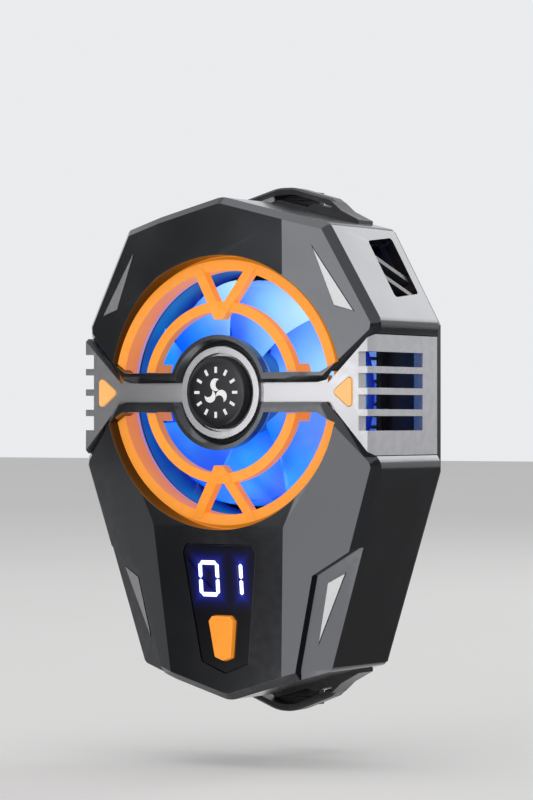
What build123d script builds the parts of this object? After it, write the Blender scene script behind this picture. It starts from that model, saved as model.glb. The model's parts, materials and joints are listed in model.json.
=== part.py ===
from build123d import *
import math
import os

os.makedirs("parts", exist_ok=True)

# A clip-on cooler for a phone. A fan behind an orange grille blows through a finned heat
# sink, a thermoelectric module moves heat from a cold plate into that sink, and two
# spring-loaded claws hold the cooler on the back of a phone.
# Frame: millimetres, +Z up, the fan faces -Y, and the origin is the point where the fan's
# axis meets the soft face that lies against the phone. A depth is a distance from that
# face towards the front.

# Body outline, seen from the front
side_margin = 5.0
top_margin = 7.9
top_shoulder_inset = 3.5
top_shoulder_drop = 4.5
top_corner_z = 9.4
chin_long = 24.8
low_shoulder_inset = 4.8
low_shoulder_drop = 5.0
low_corner_z = 10.4
corner_round = 2.5
shoulder_round = 1.2
apex_round = 4.0
wall = 1.6
seam = 0.1
overrun = 1.0

# Depths of the body
rear_edge_thick = 1.0
rear_plate_thick = 1.3
rear_rim_inset = 0.4

# Facets of the front: where each leaves the flat middle, and its fall per mm
top_ridge_x = 14.1
top_side_slope = 0.226
top_side_fall_slope = 0.036
top_break_inset = 3.1
top_slope = 0.03
low_ridge_x = 11.45
low_side_slope = 0.248
low_side_fall_slope = 0.118
low_break_inset = 0.5
low_slope = 0.10
edge_bevel = 1.0

# Band across the middle, its hub and the air slots in its sides
notch_inset = 2.3
band_half = 1.45
rim_width = 1.5
hub_r = 6.95
hub_rim_width = 1.65
band_sink = 1.45
band_thick = 1.3
wing_thick = 2.1
band_flange = 1.25
frame_inset = 0.9
frame_wall = 1.5
frame_edge_run = 0.5
frame_edge_drop = 1.4
slot_count = 4
slot_pitch = 3.13
slot_height = 2.14
slot_centre_z = 0.1
slot_front_run = 2.0
slot_back_depth = 7.5
hub_ring_inner_r = 5.9
hub_ring_proud = 0.75
cap_r = 5.45
cap_proud = 0.45
cap_edge_round = 0.7
emblem_recess = 0.15
emblem_proud = 0.02
tick_count = 12
tick_inner_r = 2.9
tick_outer_r = 3.8
tick_width = 0.42
vane_count = 3
vane_r = 0.95
vane_offset = 1.15
vane_bite_r = 0.8
vane_bite_shift = 0.75

# Fan opening and grille
opening_margin = 2.1
opening_cut = 3.3
opening_cut_top = 0.5
opening_cut_top_z = 4.5
collar_wall = 1.5
grille_sink = 3.6
grille_thick = 1.5
grille_lip = 0.9
ring_width = 2.2
ring_rise = 1.7
small_ring_inner_r = 12.1
small_ring_width = 1.5
small_ring_rise = 2.8
grille_step = 1.2
vee_tip_gap = 2.3
vee_tip_half = 0.75
vee_top_x = 5.8
vee_bar = 1.5
vee_rise = 3.3
vee_slope = 0.19
rib_thick = 1.6

# Light ring and its board
light_ring_thick = 0.8
light_ring_inset = 0.3
led_board_thick = 0.6
led_count = 12
led_long = 1.4
led_wide = 0.8
led_high = 0.6
duct_clearance = 0.1

# Fan
duct_r = 18.4
duct_wall = 1.1
duct_flange = 1.2
fan_long = 6.6
fan_base_thick = 0.8
spoke_count = 4
spoke_width = 1.8
base_disc_r = 6.6
blade_count = 7
blade_tip_clearance = 0.6
blade_setback = 1.0
blade_span = 5.2
blade_thick = 0.7
blade_root_pitch = 46.0
blade_tip_pitch = 67.0
blade_sweep = 16.0
rotor_r = 6.3
rotor_wall = 0.8
rotor_gap = 0.4
rotor_back_gap = 1.0
rotor_boss_r = 1.6
rotor_boss_long = 0.5
shaft_r = 0.75
shaft_clearance = 0.03
sleeve_wall = 0.5
tube_wall = 0.65
tube_gap = 0.4
yoke_wall = 0.4
magnet_wall = 0.8
magnet_long = 4.0
magnet_setback = 0.3
air_gap = 0.35
stator_long = 2.8
stator_setback = 0.9
pole_count = 4
tooth_width = 1.0
shoe_thick = 0.6
shoe_angle = 66.0
coil_end = 0.5
coil_build = 0.6
fan_board_thick = 0.5
running_gap = 0.05

# Cooling stack, from the phone outwards
pad_thick = 0.5
pad_half_x = 19.5
pad_half_z = 16.5
pad_round = 2.5
plate_margin = 0.5
plate_thick = 1.4
module_half = 12.5
module_thick = 2.2
ceramic_thick = 0.5
pellet_rows = 8
pellet_width = 1.5
pedestal_long = 1.1
foam_clearance = 0.2
sink_margin_x = 4.5
sink_margin_z = 1.5
sink_base_thick = 1.4
fin_count = 17
fin_thick = 0.5
fin_long = 4.6
fin_gap_to_fan = 0.2
sink_screw_inset = 2.0
sink_screw_r = 0.8
sink_screw_head_r = 1.4
sink_screw_head_long = 0.6

# Case screws and their bosses
screw_r = 0.9
screw_head_r = 1.7
screw_head_long = 0.8
screw_long = 6.0
screw_clearance = 0.05
socket_r = 0.6
socket_deep = 0.4
boss_r = 2.0
boss_top_inset = 4.4
boss_top_drop = 2.3
boss_corner_inset = 4.1
boss_corner_rise = 0.6
boss_mid_inset = 7.6
boss_mid_drop = 9.8
boss_low_inset = 4.1
boss_low_rise = 4.2

# Windows high in the sides, along the slanted wall from the shoulder
window_front_depth = 12.7
window_back_depth = 5.0
window_front_start = 2.5
window_back_start = 1.6
window_long = 9.75
window_round = 0.6
vent_plate_thick = 0.9
vent_margin = 0.8
vent_frame_clearance = 0.15
vent_rib_count = 2
vent_rib_start = 1.6
vent_rib_step = 3.3
vent_rib_slant = 4.2
vent_rib_width = 1.0
vent_rib_sink = 0.5

# Trim on the front: the corners of the metal triangles, the lit lenses and the sunk cheeks
top_trim_high_inset = 2.0
top_trim_high_drop = 3.6
top_trim_inner_inset = 7.1
top_trim_inner_rise = 3.3
top_trim_outer_inset = 4.2
top_trim_outer_rise = 2.45
low_trim_outer_inset = 2.4
low_trim_outer_drop = 3.8
low_trim_inner_inset = 1.5
low_trim_inner_drop = 1.1
low_trim_tip_inset = 3.0
low_trim_tip_rise = 4.3
trim_thick = 0.5
trim_sink = 0.35
trim_clearance = 0.05
lens_tip_gap = 0.9
lens_base_inset = 3.1
lens_half = 2.6
lens_round = 0.5
lens_sink = 1.0
lens_proud = 0.25
cheek_sink = 1.6
cheek_top_inset = 4.4
cheek_top_drop = 12.4
cheek_mid_inset = 1.2
cheek_mid_drop = 4.2
cheek_low_inset = 4.6
cheek_low_drop = 0.1

# Display and button
display_gap = 2.1
display_top_half = 5.9
display_shoulder_drop = 1.3
display_shoulder_half = 6.5
display_tail = 0.85
display_low_half = 4.2
display_point = 1.7
display_round = 0.5
window_sink = 0.2
window_thick = 0.9
window_ledge = 0.8
fit_gap = 0.12
digit_drop = 5.2
digit_half_step = 2.1
digit_width = 3.6
digit_height = 5.4
digit_bar = 0.62
digit_bar_gap = 0.12
digit_proud = 0.03
module_block_half_x = 4.4
module_block_half_z = 3.5
button_drop = 10.8
button_top_half = 1.6
button_shoulder_drop = 0.75
button_shoulder_half = 2.2
button_long = 6.15
button_low_half = 1.45
button_point = 0.55
button_proud = 0.55
button_round = 0.3
button_flange = 0.4
button_flange_thick = 0.6
button_travel = 0.5
button_window_gap = 0.08
switch_half = 2.0
switch_high = 1.5
switch_drop = 3.6
switch_floor = 0.3
plunger_r = 0.9
plunger_clearance = 0.08
plunger_spare = 0.05

# Circuit board and power inlet
board_top_drop = 1.4
board_half_x = 9.6
board_tab_x = 16.2
board_tab_drop = 0.6
board_tab_long = 9.9
board_gap = 1.11
board_thick = 1.0
board_screw_r = 0.6
board_screw_long = 3.0
board_screw_head_r = 1.1
board_screw_head_long = 0.6
post_r = 1.3
post_inset = 1.7
post_top_drop = 2.5
post_low_rise = 2.7
inlet_drop = 5.4
inlet_wide = 8.94
inlet_high = 3.2
inlet_deep = 6.6
inlet_wall = 0.3
inlet_tongue = 0.7
inlet_tongue_margin = 1.1
inlet_floor = 0.8
inlet_tongue_long = 4.6
choke_x = 3.6
choke_drop = 5.0
choke_half = 2.5
choke_high = 2.6
capacitor_x = 3.6
capacitor_drop = 4.6
capacitor_r = 2.0
capacitor_high = 4.5
chip_x = 3.0
chip_drop = 12.0
chip_half = 2.2
chip_high = 1.0

# Claws, their rods and springs
claw_travel = 7.0
rod_x = 8.6
rod_depth = 4.6
rod_r = 0.45
rod_clearance = 0.05
rod_head_r = 1.25
rod_head_long = 0.6
rod_bite = 0.45
spring_wire_r = 0.2
spring_r = 0.85
spring_turns = 5.5
spring_spare = 0.4
spring_seat_gap = 0.1
spring_sample_count = 24
guide_high = 1.2
guide_middle_high = 0.4
guide_ramp_x = 5.2
guide_ramp_end_x = 6.4
guide_half_x = 14.4
guide_bite = 0.3
guide_front_depth = 7.4
guide_back_depth = 2.4
claw_front_depth = 5.2
claw_flat_half = 1.5
claw_rise = 2.45
claw_fall_share = 1.12
claw_round = 7.0
claw_thick = 1.1
claw_end_wall = 0.2
claw_end_drop = 0.5
claw_leg = 1.1
claw_notch_drop = 0.8
claw_back_depth = 2.2
claw_gap = 0.15
claw_bevel = 0.35
tail_gap = 0.35
tail_high = 2.3
tail_mid_x = 11.3
tail_mid_high = 1.25
tail_end_high = 0.5
hook_half_x = 4.0
hook_back_gap = 0.2
hook_thick = 1.4
hook_inset = 3.5
low_hook_inset = 3.0
hook_reach = 9.6
hook_lip = 1.6
hook_lip_thick = 1.3
hook_pad_thick = 0.6
low_claw_rise = 2.8
low_claw_fall_share = 1.3

# Sizes that follow from the ones above: depths, from the phone to the front
rear_cover_depth = pad_thick + plate_thick
rear_inner_depth = rear_cover_depth + rear_plate_thick
shell_back_depth = rear_cover_depth + rear_edge_thick + seam
pedestal_depth = rear_cover_depth + pedestal_long
sink_back_depth = pedestal_depth + module_thick
sink_base_depth = sink_back_depth + sink_base_thick
fin_top_depth = sink_base_depth + fin_long
fan_back_depth = fin_top_depth + fin_gap_to_fan
flange_front_depth = fan_back_depth + fan_long
light_back_depth = flange_front_depth + led_board_thick
grille_back_depth = light_back_depth + light_ring_thick
collar_back_depth = grille_back_depth + grille_thick
ring_front_depth = collar_back_depth + ring_rise
small_ring_depth = collar_back_depth + small_ring_rise
vee_tip_depth = collar_back_depth + vee_rise
front_depth = collar_back_depth + grille_sink
band_depth = front_depth - band_sink
band_flange_depth = front_depth - wall - seam / 2
hub_floor_depth = band_flange_depth - band_flange

# Sizes round the fan's axis
opening_r = duct_r + opening_margin
grille_seat_r = opening_r + grille_lip
ring_inner_r = opening_r - ring_width
small_ring_outer_r = small_ring_inner_r + small_ring_width
light_ring_outer_r = opening_r - light_ring_inset
opening_cut_x = opening_r - opening_cut
opening_cut_top_x = opening_r - opening_cut_top
hub_rim_r = hub_r + hub_rim_width
rim_edge_z = band_half + rim_width
grille_step_z = rim_edge_z + seam + grille_step
vee_tip_z = hub_rim_r + vee_tip_gap
notch_x = opening_r - notch_inset

# The body's outline, the ridges' ends and what lies near the edge
body_half_width = grille_seat_r + side_margin
top_apex_z = grille_seat_r + top_margin
top_shoulder_x = grille_seat_r - top_shoulder_inset
top_shoulder_z = top_apex_z - top_shoulder_drop
low_apex_z = grille_seat_r + chin_long
low_shoulder_x = grille_seat_r - low_shoulder_inset
low_shoulder_z = low_apex_z - low_shoulder_drop
top_break_z = opening_r - top_break_inset
low_break_z = opening_r - low_break_inset
frame_half_width = body_half_width - frame_inset
slot_inner_x = frame_half_width - slot_front_run
lens_tip_x = notch_x + lens_tip_gap
lens_base_x = frame_half_width - lens_base_inset
boss_top_x = top_shoulder_x - boss_top_inset
boss_top_z = top_shoulder_z - boss_top_drop
boss_corner_x = body_half_width - boss_corner_inset
boss_corner_z = top_corner_z + boss_corner_rise
boss_mid_x = body_half_width - boss_mid_inset
boss_mid_z = low_corner_z + boss_mid_drop
boss_low_x = low_shoulder_x - boss_low_inset
boss_low_z = low_shoulder_z - boss_low_rise
cheek_top_x = body_half_width - cheek_top_inset
cheek_top_z = low_corner_z + cheek_top_drop
cheek_mid_x = low_shoulder_x - cheek_mid_inset
cheek_mid_z = cheek_top_z + cheek_mid_drop
cheek_low_x = low_shoulder_x - cheek_low_inset
cheek_low_z = low_shoulder_z + cheek_low_drop
claw_shoulder_x = rod_x - rod_r
claw_end_x = rod_x + rod_r + claw_end_wall
claw_leg_x = claw_shoulder_x - claw_leg
tail_inner_x = claw_end_x + tail_gap
hook_inner_z = top_apex_z - hook_inset
low_hook_inner_z = low_apex_z - low_hook_inset

# The display, the button and the board, down from the fan opening
display_top_z = opening_r + display_gap
display_shoulder_z = display_top_z + display_shoulder_drop
digit_z = display_top_z + digit_drop
button_top_z = display_top_z + button_drop
button_shoulder_z = button_top_z + button_shoulder_drop
button_low_z = button_top_z + button_long
button_apex_z = button_low_z + button_point
display_low_z = button_low_z + display_tail
display_apex_z = display_low_z + display_point
switch_z = button_top_z + switch_drop
board_top_z = display_top_z + board_top_drop
board_low_z = low_shoulder_z
board_tab_top_z = board_top_z + board_tab_drop
board_tab_low_z = board_tab_top_z + board_tab_long
inlet_z = board_tab_top_z + inlet_drop
post_x = board_half_x - post_inset
post_top_z = board_top_z + post_top_drop
post_low_z = board_low_z - post_low_rise
choke_z = board_top_z + choke_drop
capacitor_z = board_top_z + capacitor_drop
chip_z = board_top_z + chip_drop
tab_drop = (low_side_slope * (board_tab_x - low_ridge_x)
            + low_side_fall_slope * (board_tab_low_z - low_break_z))
board_front_depth = front_depth - wall - cheek_sink - tab_drop - board_gap
board_back_depth = board_front_depth - board_thick

# The fan, the cooling stack and the springs
rotor_front_depth = grille_back_depth - rotor_gap
rotor_back_depth = fan_back_depth + fan_base_thick + rotor_back_gap
blade_front_depth = rotor_front_depth - blade_setback
tube_front_depth = rotor_front_depth - rotor_wall - rotor_boss_long - tube_gap
sleeve_r = shaft_r + shaft_clearance + sleeve_wall
tube_r = sleeve_r + tube_wall
yoke_r = rotor_r - rotor_wall
magnet_r = yoke_r - yoke_wall
stator_r = magnet_r - magnet_wall - air_gap
stator_low = rotor_back_depth + stator_setback
stator_high = stator_low + stator_long
sink_half_x = module_half + sink_margin_x
sink_half_z = module_half + sink_margin_z
sink_screw_x = sink_half_x - sink_screw_inset
spring_long = claw_travel + (spring_turns + 1) * 2 * spring_wire_r + spring_spare


def slab(shape, low, high):
    """A flat shape in x and z, filled between two depths."""
    return extrude(Plane.XZ.offset(low) * shape, amount=high - low)


def outline_shape(*points):
    return make_face(Polyline(*points, close=True))


def mirrored_outline(half):
    """An outline from its right half, which runs from the top of the centre line down."""
    left = [(-x, z) for x, z in reversed(half) if x > 0]
    return outline_shape(*half, *left)


def corner_at(shape, x, z):
    """The corner of a shape that lies nearest to a point and to its mirror image."""
    return [min(shape.vertices(), key=lambda v: abs(v.X - s * x) + abs(v.Y - z)) for s in (1, -1)]


def rounded(shape, places):
    """Round the named corners on both sides: each place is x, z and a radius."""
    for x, z, radius in places:
        corners = corner_at(shape, x, z)
        if x == 0:
            corners = corners[:1]
        shape = fillet(corners, radius)
    return shape


def above(shape, z_low, z_high, half_x):
    middle = (z_low + z_high) / 2
    return shape & Pos(0, middle) * Rectangle(2 * half_x, z_high - z_low)


def save(part, name):
    export_step(part, "parts/" + name + ".step")


def solids_group(items):
    return Compound(children=list(items))


# Planes of the front's facets, as a point and an outward normal
def facet(fall_x, fall_z, x, z, drop, side=1):
    """A plane at the front depth less a drop above (x, z), falling with x and with z."""
    normal = Vector(side * fall_x, -1, fall_z)
    return Plane(origin=(side * x, -(front_depth - drop), z), z_dir=normal)


def facets(upper, drop):
    if upper:
        middle = facet(0, top_slope, 0, top_break_z, drop)
        sides = [facet(top_side_slope, top_side_fall_slope, top_ridge_x, 0, drop, s) for s in (1, -1)]
    else:
        middle = facet(0, -low_slope, 0, -low_break_z, drop)
        sides = [facet(low_side_slope, -low_side_fall_slope, low_ridge_x, -low_break_z, drop, s)
                 for s in (1, -1)]
    return [middle] + sides


def cover_corners(upper):
    """The right half of one cover's outline, each corner as x, z and its rounding."""
    if upper:
        return [(0, top_apex_z, apex_round), (top_shoulder_x, top_shoulder_z, shoulder_round),
                (body_half_width, top_corner_z, corner_round), (notch_x, band_half, 0)]
    return [(notch_x, -band_half, 0), (body_half_width, -low_corner_z, corner_round),
            (low_shoulder_x, -low_shoulder_z, shoulder_round), (0, -low_apex_z, apex_round)]


def half_outline(upper, inset):
    """The outline of one cover: the body's edge, the notch and the band's edge."""
    corners = cover_corners(upper)
    shape = mirrored_outline([(x, z) for x, z, radius in corners])
    shape = rounded(shape, [place for place in corners if place[2] > 0])
    if inset:
        shape = offset(shape, amount=-inset, kind=Kind.INTERSECTION)
    return shape


def edge_lines(upper):
    """The cover's edges as a point and an outward direction, and one more at each round."""
    corners = cover_corners(upper)
    loop = corners + [(-x, z, radius) for x, z, radius in reversed(corners) if x > 0]
    count = len(loop)
    directions = []
    for i in range(count):
        x, z, radius = loop[i]
        far_x, far_z, far_radius = loop[(i + 1) % count]
        length = math.hypot(far_x - x, far_z - z)
        directions.append(((z - far_z) / length * -1, (far_x - x) / length * -1))
    lines = []
    for i in range(count):
        x, z, radius = loop[i]
        lines.append((x, z, -directions[i][0], -directions[i][1]))
        if radius > 0:
            before = directions[i - 1]
            after = directions[i]
            half_turn = math.acos(before[0] * after[0] + before[1] * after[1]) / 2
            nx = -(before[0] + after[0]) / (2 * math.cos(half_turn))
            nz = -(before[1] + after[1]) / (2 * math.cos(half_turn))
            cut = radius * (1 / math.cos(half_turn) - 1)
            lines.append((x - nx * cut, z - nz * cut, nx, nz))
    return lines


def bevelled(block, upper, drop):
    """Bevel a cover's front edge all round, following each facet."""
    for x, z, nx, nz in edge_lines(upper):
        for plane in facets(upper, drop):
            facing = plane.z_dir
            fall = (x - plane.origin.X) * facing.X + (z - plane.origin.Z) * facing.Z
            edge_point = Vector(x, plane.origin.Y - fall / facing.Y, z)
            slant = (Vector(nx, 0, nz) + facing).normalized()
            cut = Plane(origin=edge_point - slant * (edge_bevel / math.sqrt(2)), z_dir=slant)
            block = split(block, bisect_by=cut, keep=Keep.BOTTOM)
    return block


def blank(upper, inset, drop, back_depth):
    """A solid block of one cover with its facets, inset and lowered as asked."""
    block = slab(half_outline(upper, inset), back_depth, front_depth - drop)
    for plane in facets(upper, drop):
        block = split(block, bisect_by=plane, keep=Keep.BOTTOM)
    return block


# Covers
def opening_shape(upper):
    """The half-round window over the fan, with its two side corners cut off."""
    sign = 1 if upper else -1
    z_far = sign * (opening_r + overrun)
    keep = outline_shape((-opening_cut_x, sign * rim_edge_z), (-opening_cut_top_x, sign * opening_cut_top_z),
                         (-opening_r - overrun, sign * 2 * opening_cut_top_z), (-opening_r, z_far),
                         (opening_r, z_far), (opening_r + overrun, sign * 2 * opening_cut_top_z),
                         (opening_cut_top_x, sign * opening_cut_top_z),
                         (opening_cut_x, sign * rim_edge_z))
    return (Circle(opening_r) & keep) - Circle(hub_rim_r)


def side_wall_plane(side):
    """The slanted upper side wall: local x runs rearward, local y runs down from the shoulder."""
    run = Vector(side * (body_half_width - top_shoulder_x), 0, top_corner_z - top_shoulder_z).normalized()
    out = Vector(side * abs(run.Z), 0, abs(run.X)).normalized()
    return Plane(origin=(side * top_shoulder_x, 0, top_shoulder_z), x_dir=run, z_dir=out)


def window_shape(side, grow):
    """The four-cornered window, on the side wall's plane: x along the wall, y by depth."""
    plane = side_wall_plane(side)
    turn = 1 if plane.y_dir.Y < 0 else -1
    shape = outline_shape((window_front_start, turn * window_front_depth),
                          (window_back_start, turn * window_back_depth),
                          (window_back_start + window_long, turn * window_back_depth),
                          (window_front_start + window_long, turn * window_front_depth))
    shape = fillet(shape.vertices(), window_round)
    if grow:
        shape = offset(shape, amount=grow)
    return plane * shape


def boss_places():
    top_pair = ((boss_top_x, boss_top_z), (boss_corner_x, boss_corner_z))
    low_pair = ((boss_mid_x, -boss_mid_z), (boss_low_x, -boss_low_z))
    top = [(s * x, z) for x, z in top_pair for s in (1, -1)]
    low = [(s * x, z) for x, z in low_pair for s in (1, -1)]
    return top, low


def roof_z(upper, x):
    """Height of the body's edge above or below the axis at a given x."""
    if upper:
        return top_apex_z - (top_apex_z - top_shoulder_z) * x / top_shoulder_x
    return low_apex_z - (low_apex_z - low_shoulder_z) * x / low_shoulder_x


def roof_inner_z(upper, x):
    slope = (roof_z(upper, 0) - roof_z(upper, rod_x)) / rod_x
    return roof_z(upper, x) - wall * math.hypot(1, slope)


def spring_end_z(upper):
    return roof_inner_z(upper, rod_x + spring_r + spring_wire_r) - spring_seat_gap


def rod_cylinders(upper, radius, low, high):
    """Round bars along both rods of one claw, between two distances from the axis."""
    sign = 1 if upper else -1
    bars = []
    for s in (1, -1):
        spot = Plane(origin=(s * rod_x, -rod_depth, sign * low), x_dir=(1, 0, 0), z_dir=(0, 0, sign))
        bars.append(extrude(spot * Circle(radius), amount=high - low))
    return bars


def cheek_shape(side, grow):
    """The sunk corner low on the front, open past the body's edge."""
    far = body_half_width + overrun
    low = low_apex_z + overrun
    shape = outline_shape((side * cheek_top_x, -cheek_top_z), (side * cheek_mid_x, -cheek_mid_z),
                          (side * cheek_low_x, -cheek_low_z), (side * cheek_low_x, -low),
                          (side * far, -low), (side * far, -cheek_top_z))
    if grow:
        shape = offset(shape, amount=grow, kind=Kind.INTERSECTION)
    return shape


def display_shape(grow):
    half = [(0, -display_top_z), (display_top_half, -display_top_z),
            (display_shoulder_half, -display_shoulder_z), (display_low_half, -display_low_z),
            (0, -display_apex_z)]
    shape = mirrored_outline(half)
    shape = rounded(shape, [(x, z, display_round) for x, z in half[1:4]])
    if grow:
        shape = offset(shape, amount=grow)
    return shape


def button_shape(grow):
    half = [(0, -button_top_z), (button_top_half, -button_top_z),
            (button_shoulder_half, -button_shoulder_z), (button_low_half, -button_low_z),
            (0, -button_apex_z)]
    shape = mirrored_outline(half)
    shape = rounded(shape, [(x, z, button_round) for x, z in half[1:4]])
    if grow:
        shape = offset(shape, amount=grow)
    return shape


def panel_prism(shape, sink, thick):
    """A flat shape made to follow the low front panel, its face sunk by a given amount."""
    deep = low_apex_z * low_slope + sink + thick
    block = slab(shape, front_depth - deep - overrun, front_depth + overrun)
    block = split(block, bisect_by=facet(0, -low_slope, 0, -low_break_z, sink), keep=Keep.BOTTOM)
    return split(block, bisect_by=facet(0, -low_slope, 0, -low_break_z, sink + thick), keep=Keep.TOP)


def panel_cut(shape, deep):
    """A cut into the low front panel, to a depth that follows its slope."""
    block = slab(shape, front_depth - low_apex_z * low_slope - deep - overrun, front_depth + overrun)
    return split(block, bisect_by=facet(0, -low_slope, 0, -low_break_z, deep), keep=Keep.TOP)


def inlet_plane():
    """The place of the power inlet on the low left wall, looking outward."""
    run_x = body_half_width - low_shoulder_x
    run_z = low_shoulder_z - low_corner_z
    share = (inlet_z - low_corner_z) / run_z
    normal = Vector(-run_z, 0, -run_x).normalized()
    depth = board_front_depth - board_thick - inlet_high / 2
    wall_x = body_half_width - run_x * share
    return Plane(origin=(-wall_x, -depth, -inlet_z), x_dir=(0, 1, 0), z_dir=normal)


def inlet_shape(grow):
    return SlotOverall(inlet_wide + 2 * grow, inlet_high + 2 * grow, rotation=90)


def trim_triangle(points, grow):
    shape = outline_shape(*points)
    if grow:
        shape = offset(shape, amount=grow, kind=Kind.INTERSECTION)
    return shape


def trim_points(upper):
    if upper:
        return [(top_shoulder_x - top_trim_high_inset, top_shoulder_z - top_trim_high_drop),
                (body_half_width - top_trim_inner_inset, top_corner_z + top_trim_inner_rise),
                (body_half_width - top_trim_outer_inset, top_corner_z + top_trim_outer_rise)]
    return [(cheek_top_x - low_trim_outer_inset, -cheek_top_z - low_trim_outer_drop),
            (cheek_mid_x + low_trim_inner_inset, -cheek_mid_z - low_trim_inner_drop),
            (cheek_low_x + low_trim_tip_inset, -cheek_low_z + low_trim_tip_rise)]


def trim_block(upper, side, grow, sink, thick):
    """A thin triangle that follows the side facet it is let into."""
    shape = trim_triangle([(side * x, z) for x, z in trim_points(upper)], grow)
    plane = facets(upper, sink)[1 if side > 0 else 2]
    far = facets(upper, sink + thick)[1 if side > 0 else 2]
    block = slab(shape, front_depth / 2, front_depth + overrun)
    block = split(block, bisect_by=plane, keep=Keep.BOTTOM)
    return split(block, bisect_by=far, keep=Keep.TOP)


def drum(radius, low, high):
    return slab(Circle(radius), low, high)


def ring(outer_r, inner_r, low, high):
    return slab(Circle(outer_r) - Circle(inner_r), low, high)


def make_cover(upper):
    sign = 1 if upper else -1
    behind = shell_back_depth - overrun
    before = front_depth + overrun
    outer = bevelled(blank(upper, 0, 0, shell_back_depth), upper, 0)
    inner = blank(upper, wall, wall, behind)
    if not upper:
        sunk = blank(upper, -overrun, cheek_sink, behind)
        deeper = blank(upper, wall, cheek_sink + wall, behind)
        for side in (1, -1):
            outer = outer - (slab(cheek_shape(side, 0), behind, before) - sunk)
            inner = inner - (slab(cheek_shape(side, wall), behind, before) - deeper)
    cover = outer - inner
    side_x = frame_half_width - frame_wall - seam
    corner_z = top_corner_z if upper else low_corner_z
    cover -= slab(Rectangle(2 * side_x, 2 * corner_z), behind, collar_back_depth)
    cover -= slab(Rectangle(2 * body_half_width, 2 * (band_half + wall)), behind, front_depth - wall)
    collar = (Circle(opening_r + collar_wall) - Circle(opening_r)) & half_outline(upper, 0)
    collar_far_z = opening_r + 2 * collar_wall
    collar = above(collar, *sorted((sign * rim_edge_z, sign * collar_far_z)), body_half_width)
    cover += slab(collar, collar_back_depth, front_depth) & outer
    cover -= slab(opening_shape(upper), collar_back_depth - overrun, before)
    cover -= drum(hub_r, behind, before)
    cover -= (Plane.XZ.offset(front_depth - edge_bevel)
              * Cone(hub_r, hub_r + edge_bevel + overrun, edge_bevel + overrun,
                     align=(Align.CENTER, Align.CENTER, Align.MIN)))
    top, low = boss_places()
    for x, z in top if upper else low:
        cover += slab(Pos(x, z) * Circle(boss_r), rear_inner_depth, front_depth) & outer
        cover -= slab(Pos(x, z) * Circle(screw_r + screw_clearance), behind, behind + 2 * screw_long)
    rod_start = roof_inner_z(upper, rod_x) - overrun
    for bar in rod_cylinders(upper, rod_r + rod_clearance, rod_start, roof_z(upper, 0)):
        cover -= bar
    if upper:
        for side in (1, -1):
            cover -= extrude(window_shape(side, 0), amount=wall + overrun, both=True)
        sink = 0
    else:
        sink = cheek_sink
        cover -= panel_cut(display_shape(0), window_sink + window_thick)
        cover -= panel_cut(display_shape(-window_ledge), wall + overrun)
        cover -= extrude(inlet_plane() * inlet_shape(fit_gap), amount=wall + overrun, both=True)
        for x, z in post_places():
            cover += slab(Pos(x, z) * Circle(post_r), board_front_depth, front_depth) & outer
            cover -= slab(Pos(x, z) * Circle(board_screw_r + screw_clearance), board_front_depth - overrun,
                          board_front_depth + board_screw_long)
    for side in (1, -1):
        cover -= trim_block(upper, side, trim_clearance, sink - overrun, overrun + trim_sink)
    return cover


def make_band():
    """The metal-look band: bar, hub ring, wings and slotted sides in one piece."""
    top_z = top_corner_z
    low_z = low_corner_z
    slope_top = (top_z - band_half) / (body_half_width - notch_x)
    slope_low = (low_z - band_half) / (body_half_width - notch_x)
    gap_top = seam * math.hypot(1, slope_top)
    gap_low = seam * math.hypot(1, slope_low)
    reach = frame_half_width
    high_z = band_half + slope_top * (reach - notch_x) - gap_top
    deep_z = band_half + slope_low * (reach - notch_x) - gap_low
    tip = notch_x + gap_top
    half_bar = band_half - seam
    wing = outline_shape((tip, half_bar), (reach, high_z), (reach, -deep_z), (tip, -half_bar))
    bar = Rectangle(2 * notch_x + 2 * gap_top, 2 * half_bar)
    band = slab(wing + mirror(wing, Plane.YZ), band_depth - wing_thick, band_depth)
    band += slab(bar, band_depth - band_thick, band_depth)
    flange = Rectangle(2 * notch_x, 2 * (rim_edge_z - frame_edge_run))
    band += slab(flange, hub_floor_depth, band_flange_depth)
    band += drum(hub_rim_r - frame_edge_run, hub_floor_depth, band_flange_depth)
    band += ring(hub_r - seam, hub_ring_inner_r, hub_floor_depth, band_depth + hub_ring_proud)
    band -= drum(hub_ring_inner_r, band_flange_depth, front_depth)
    for side in (1, -1):
        wall_shape = outline_shape((side * (reach - frame_wall), high_z - frame_wall * slope_top),
                                   (side * reach, high_z), (side * reach, -deep_z),
                                   (side * (reach - frame_wall), -deep_z + frame_wall * slope_low))
        band += slab(wall_shape, shell_back_depth, band_depth)
        face = Vector(side * frame_edge_drop, -frame_edge_run, 0).normalized()
        corner = Vector(side * reach, -(band_depth - frame_edge_drop), 0)
        band = split(band, bisect_by=Plane(origin=corner, z_dir=face), keep=Keep.BOTTOM)
        lens = lens_shape(side, fit_gap)
        band -= slab(lens, band_depth - lens_sink, front_depth)
    for z in slot_places():
        slot = Pos(0, z) * Rectangle(2 * body_half_width, slot_height)
        slot = slot - Pos(0, z) * Rectangle(2 * slot_inner_x, 2 * slot_height)
        band -= slab(slot, slot_back_depth, front_depth)
    return band


def slot_places():
    middle = (slot_count - 1) / 2
    return [slot_centre_z + (i - middle) * slot_pitch for i in range(slot_count)]


def lens_shape(side, grow):
    shape = outline_shape((side * lens_tip_x, 0), (side * lens_base_x, lens_half),
                          (side * lens_base_x, -lens_half))
    shape = fillet(shape.vertices(), lens_round)
    if grow:
        shape = offset(shape, amount=grow)
    return shape


def post_places():
    return [(s * post_x, -z) for s in (1, -1) for z in (post_top_z, post_low_z)]


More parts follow.
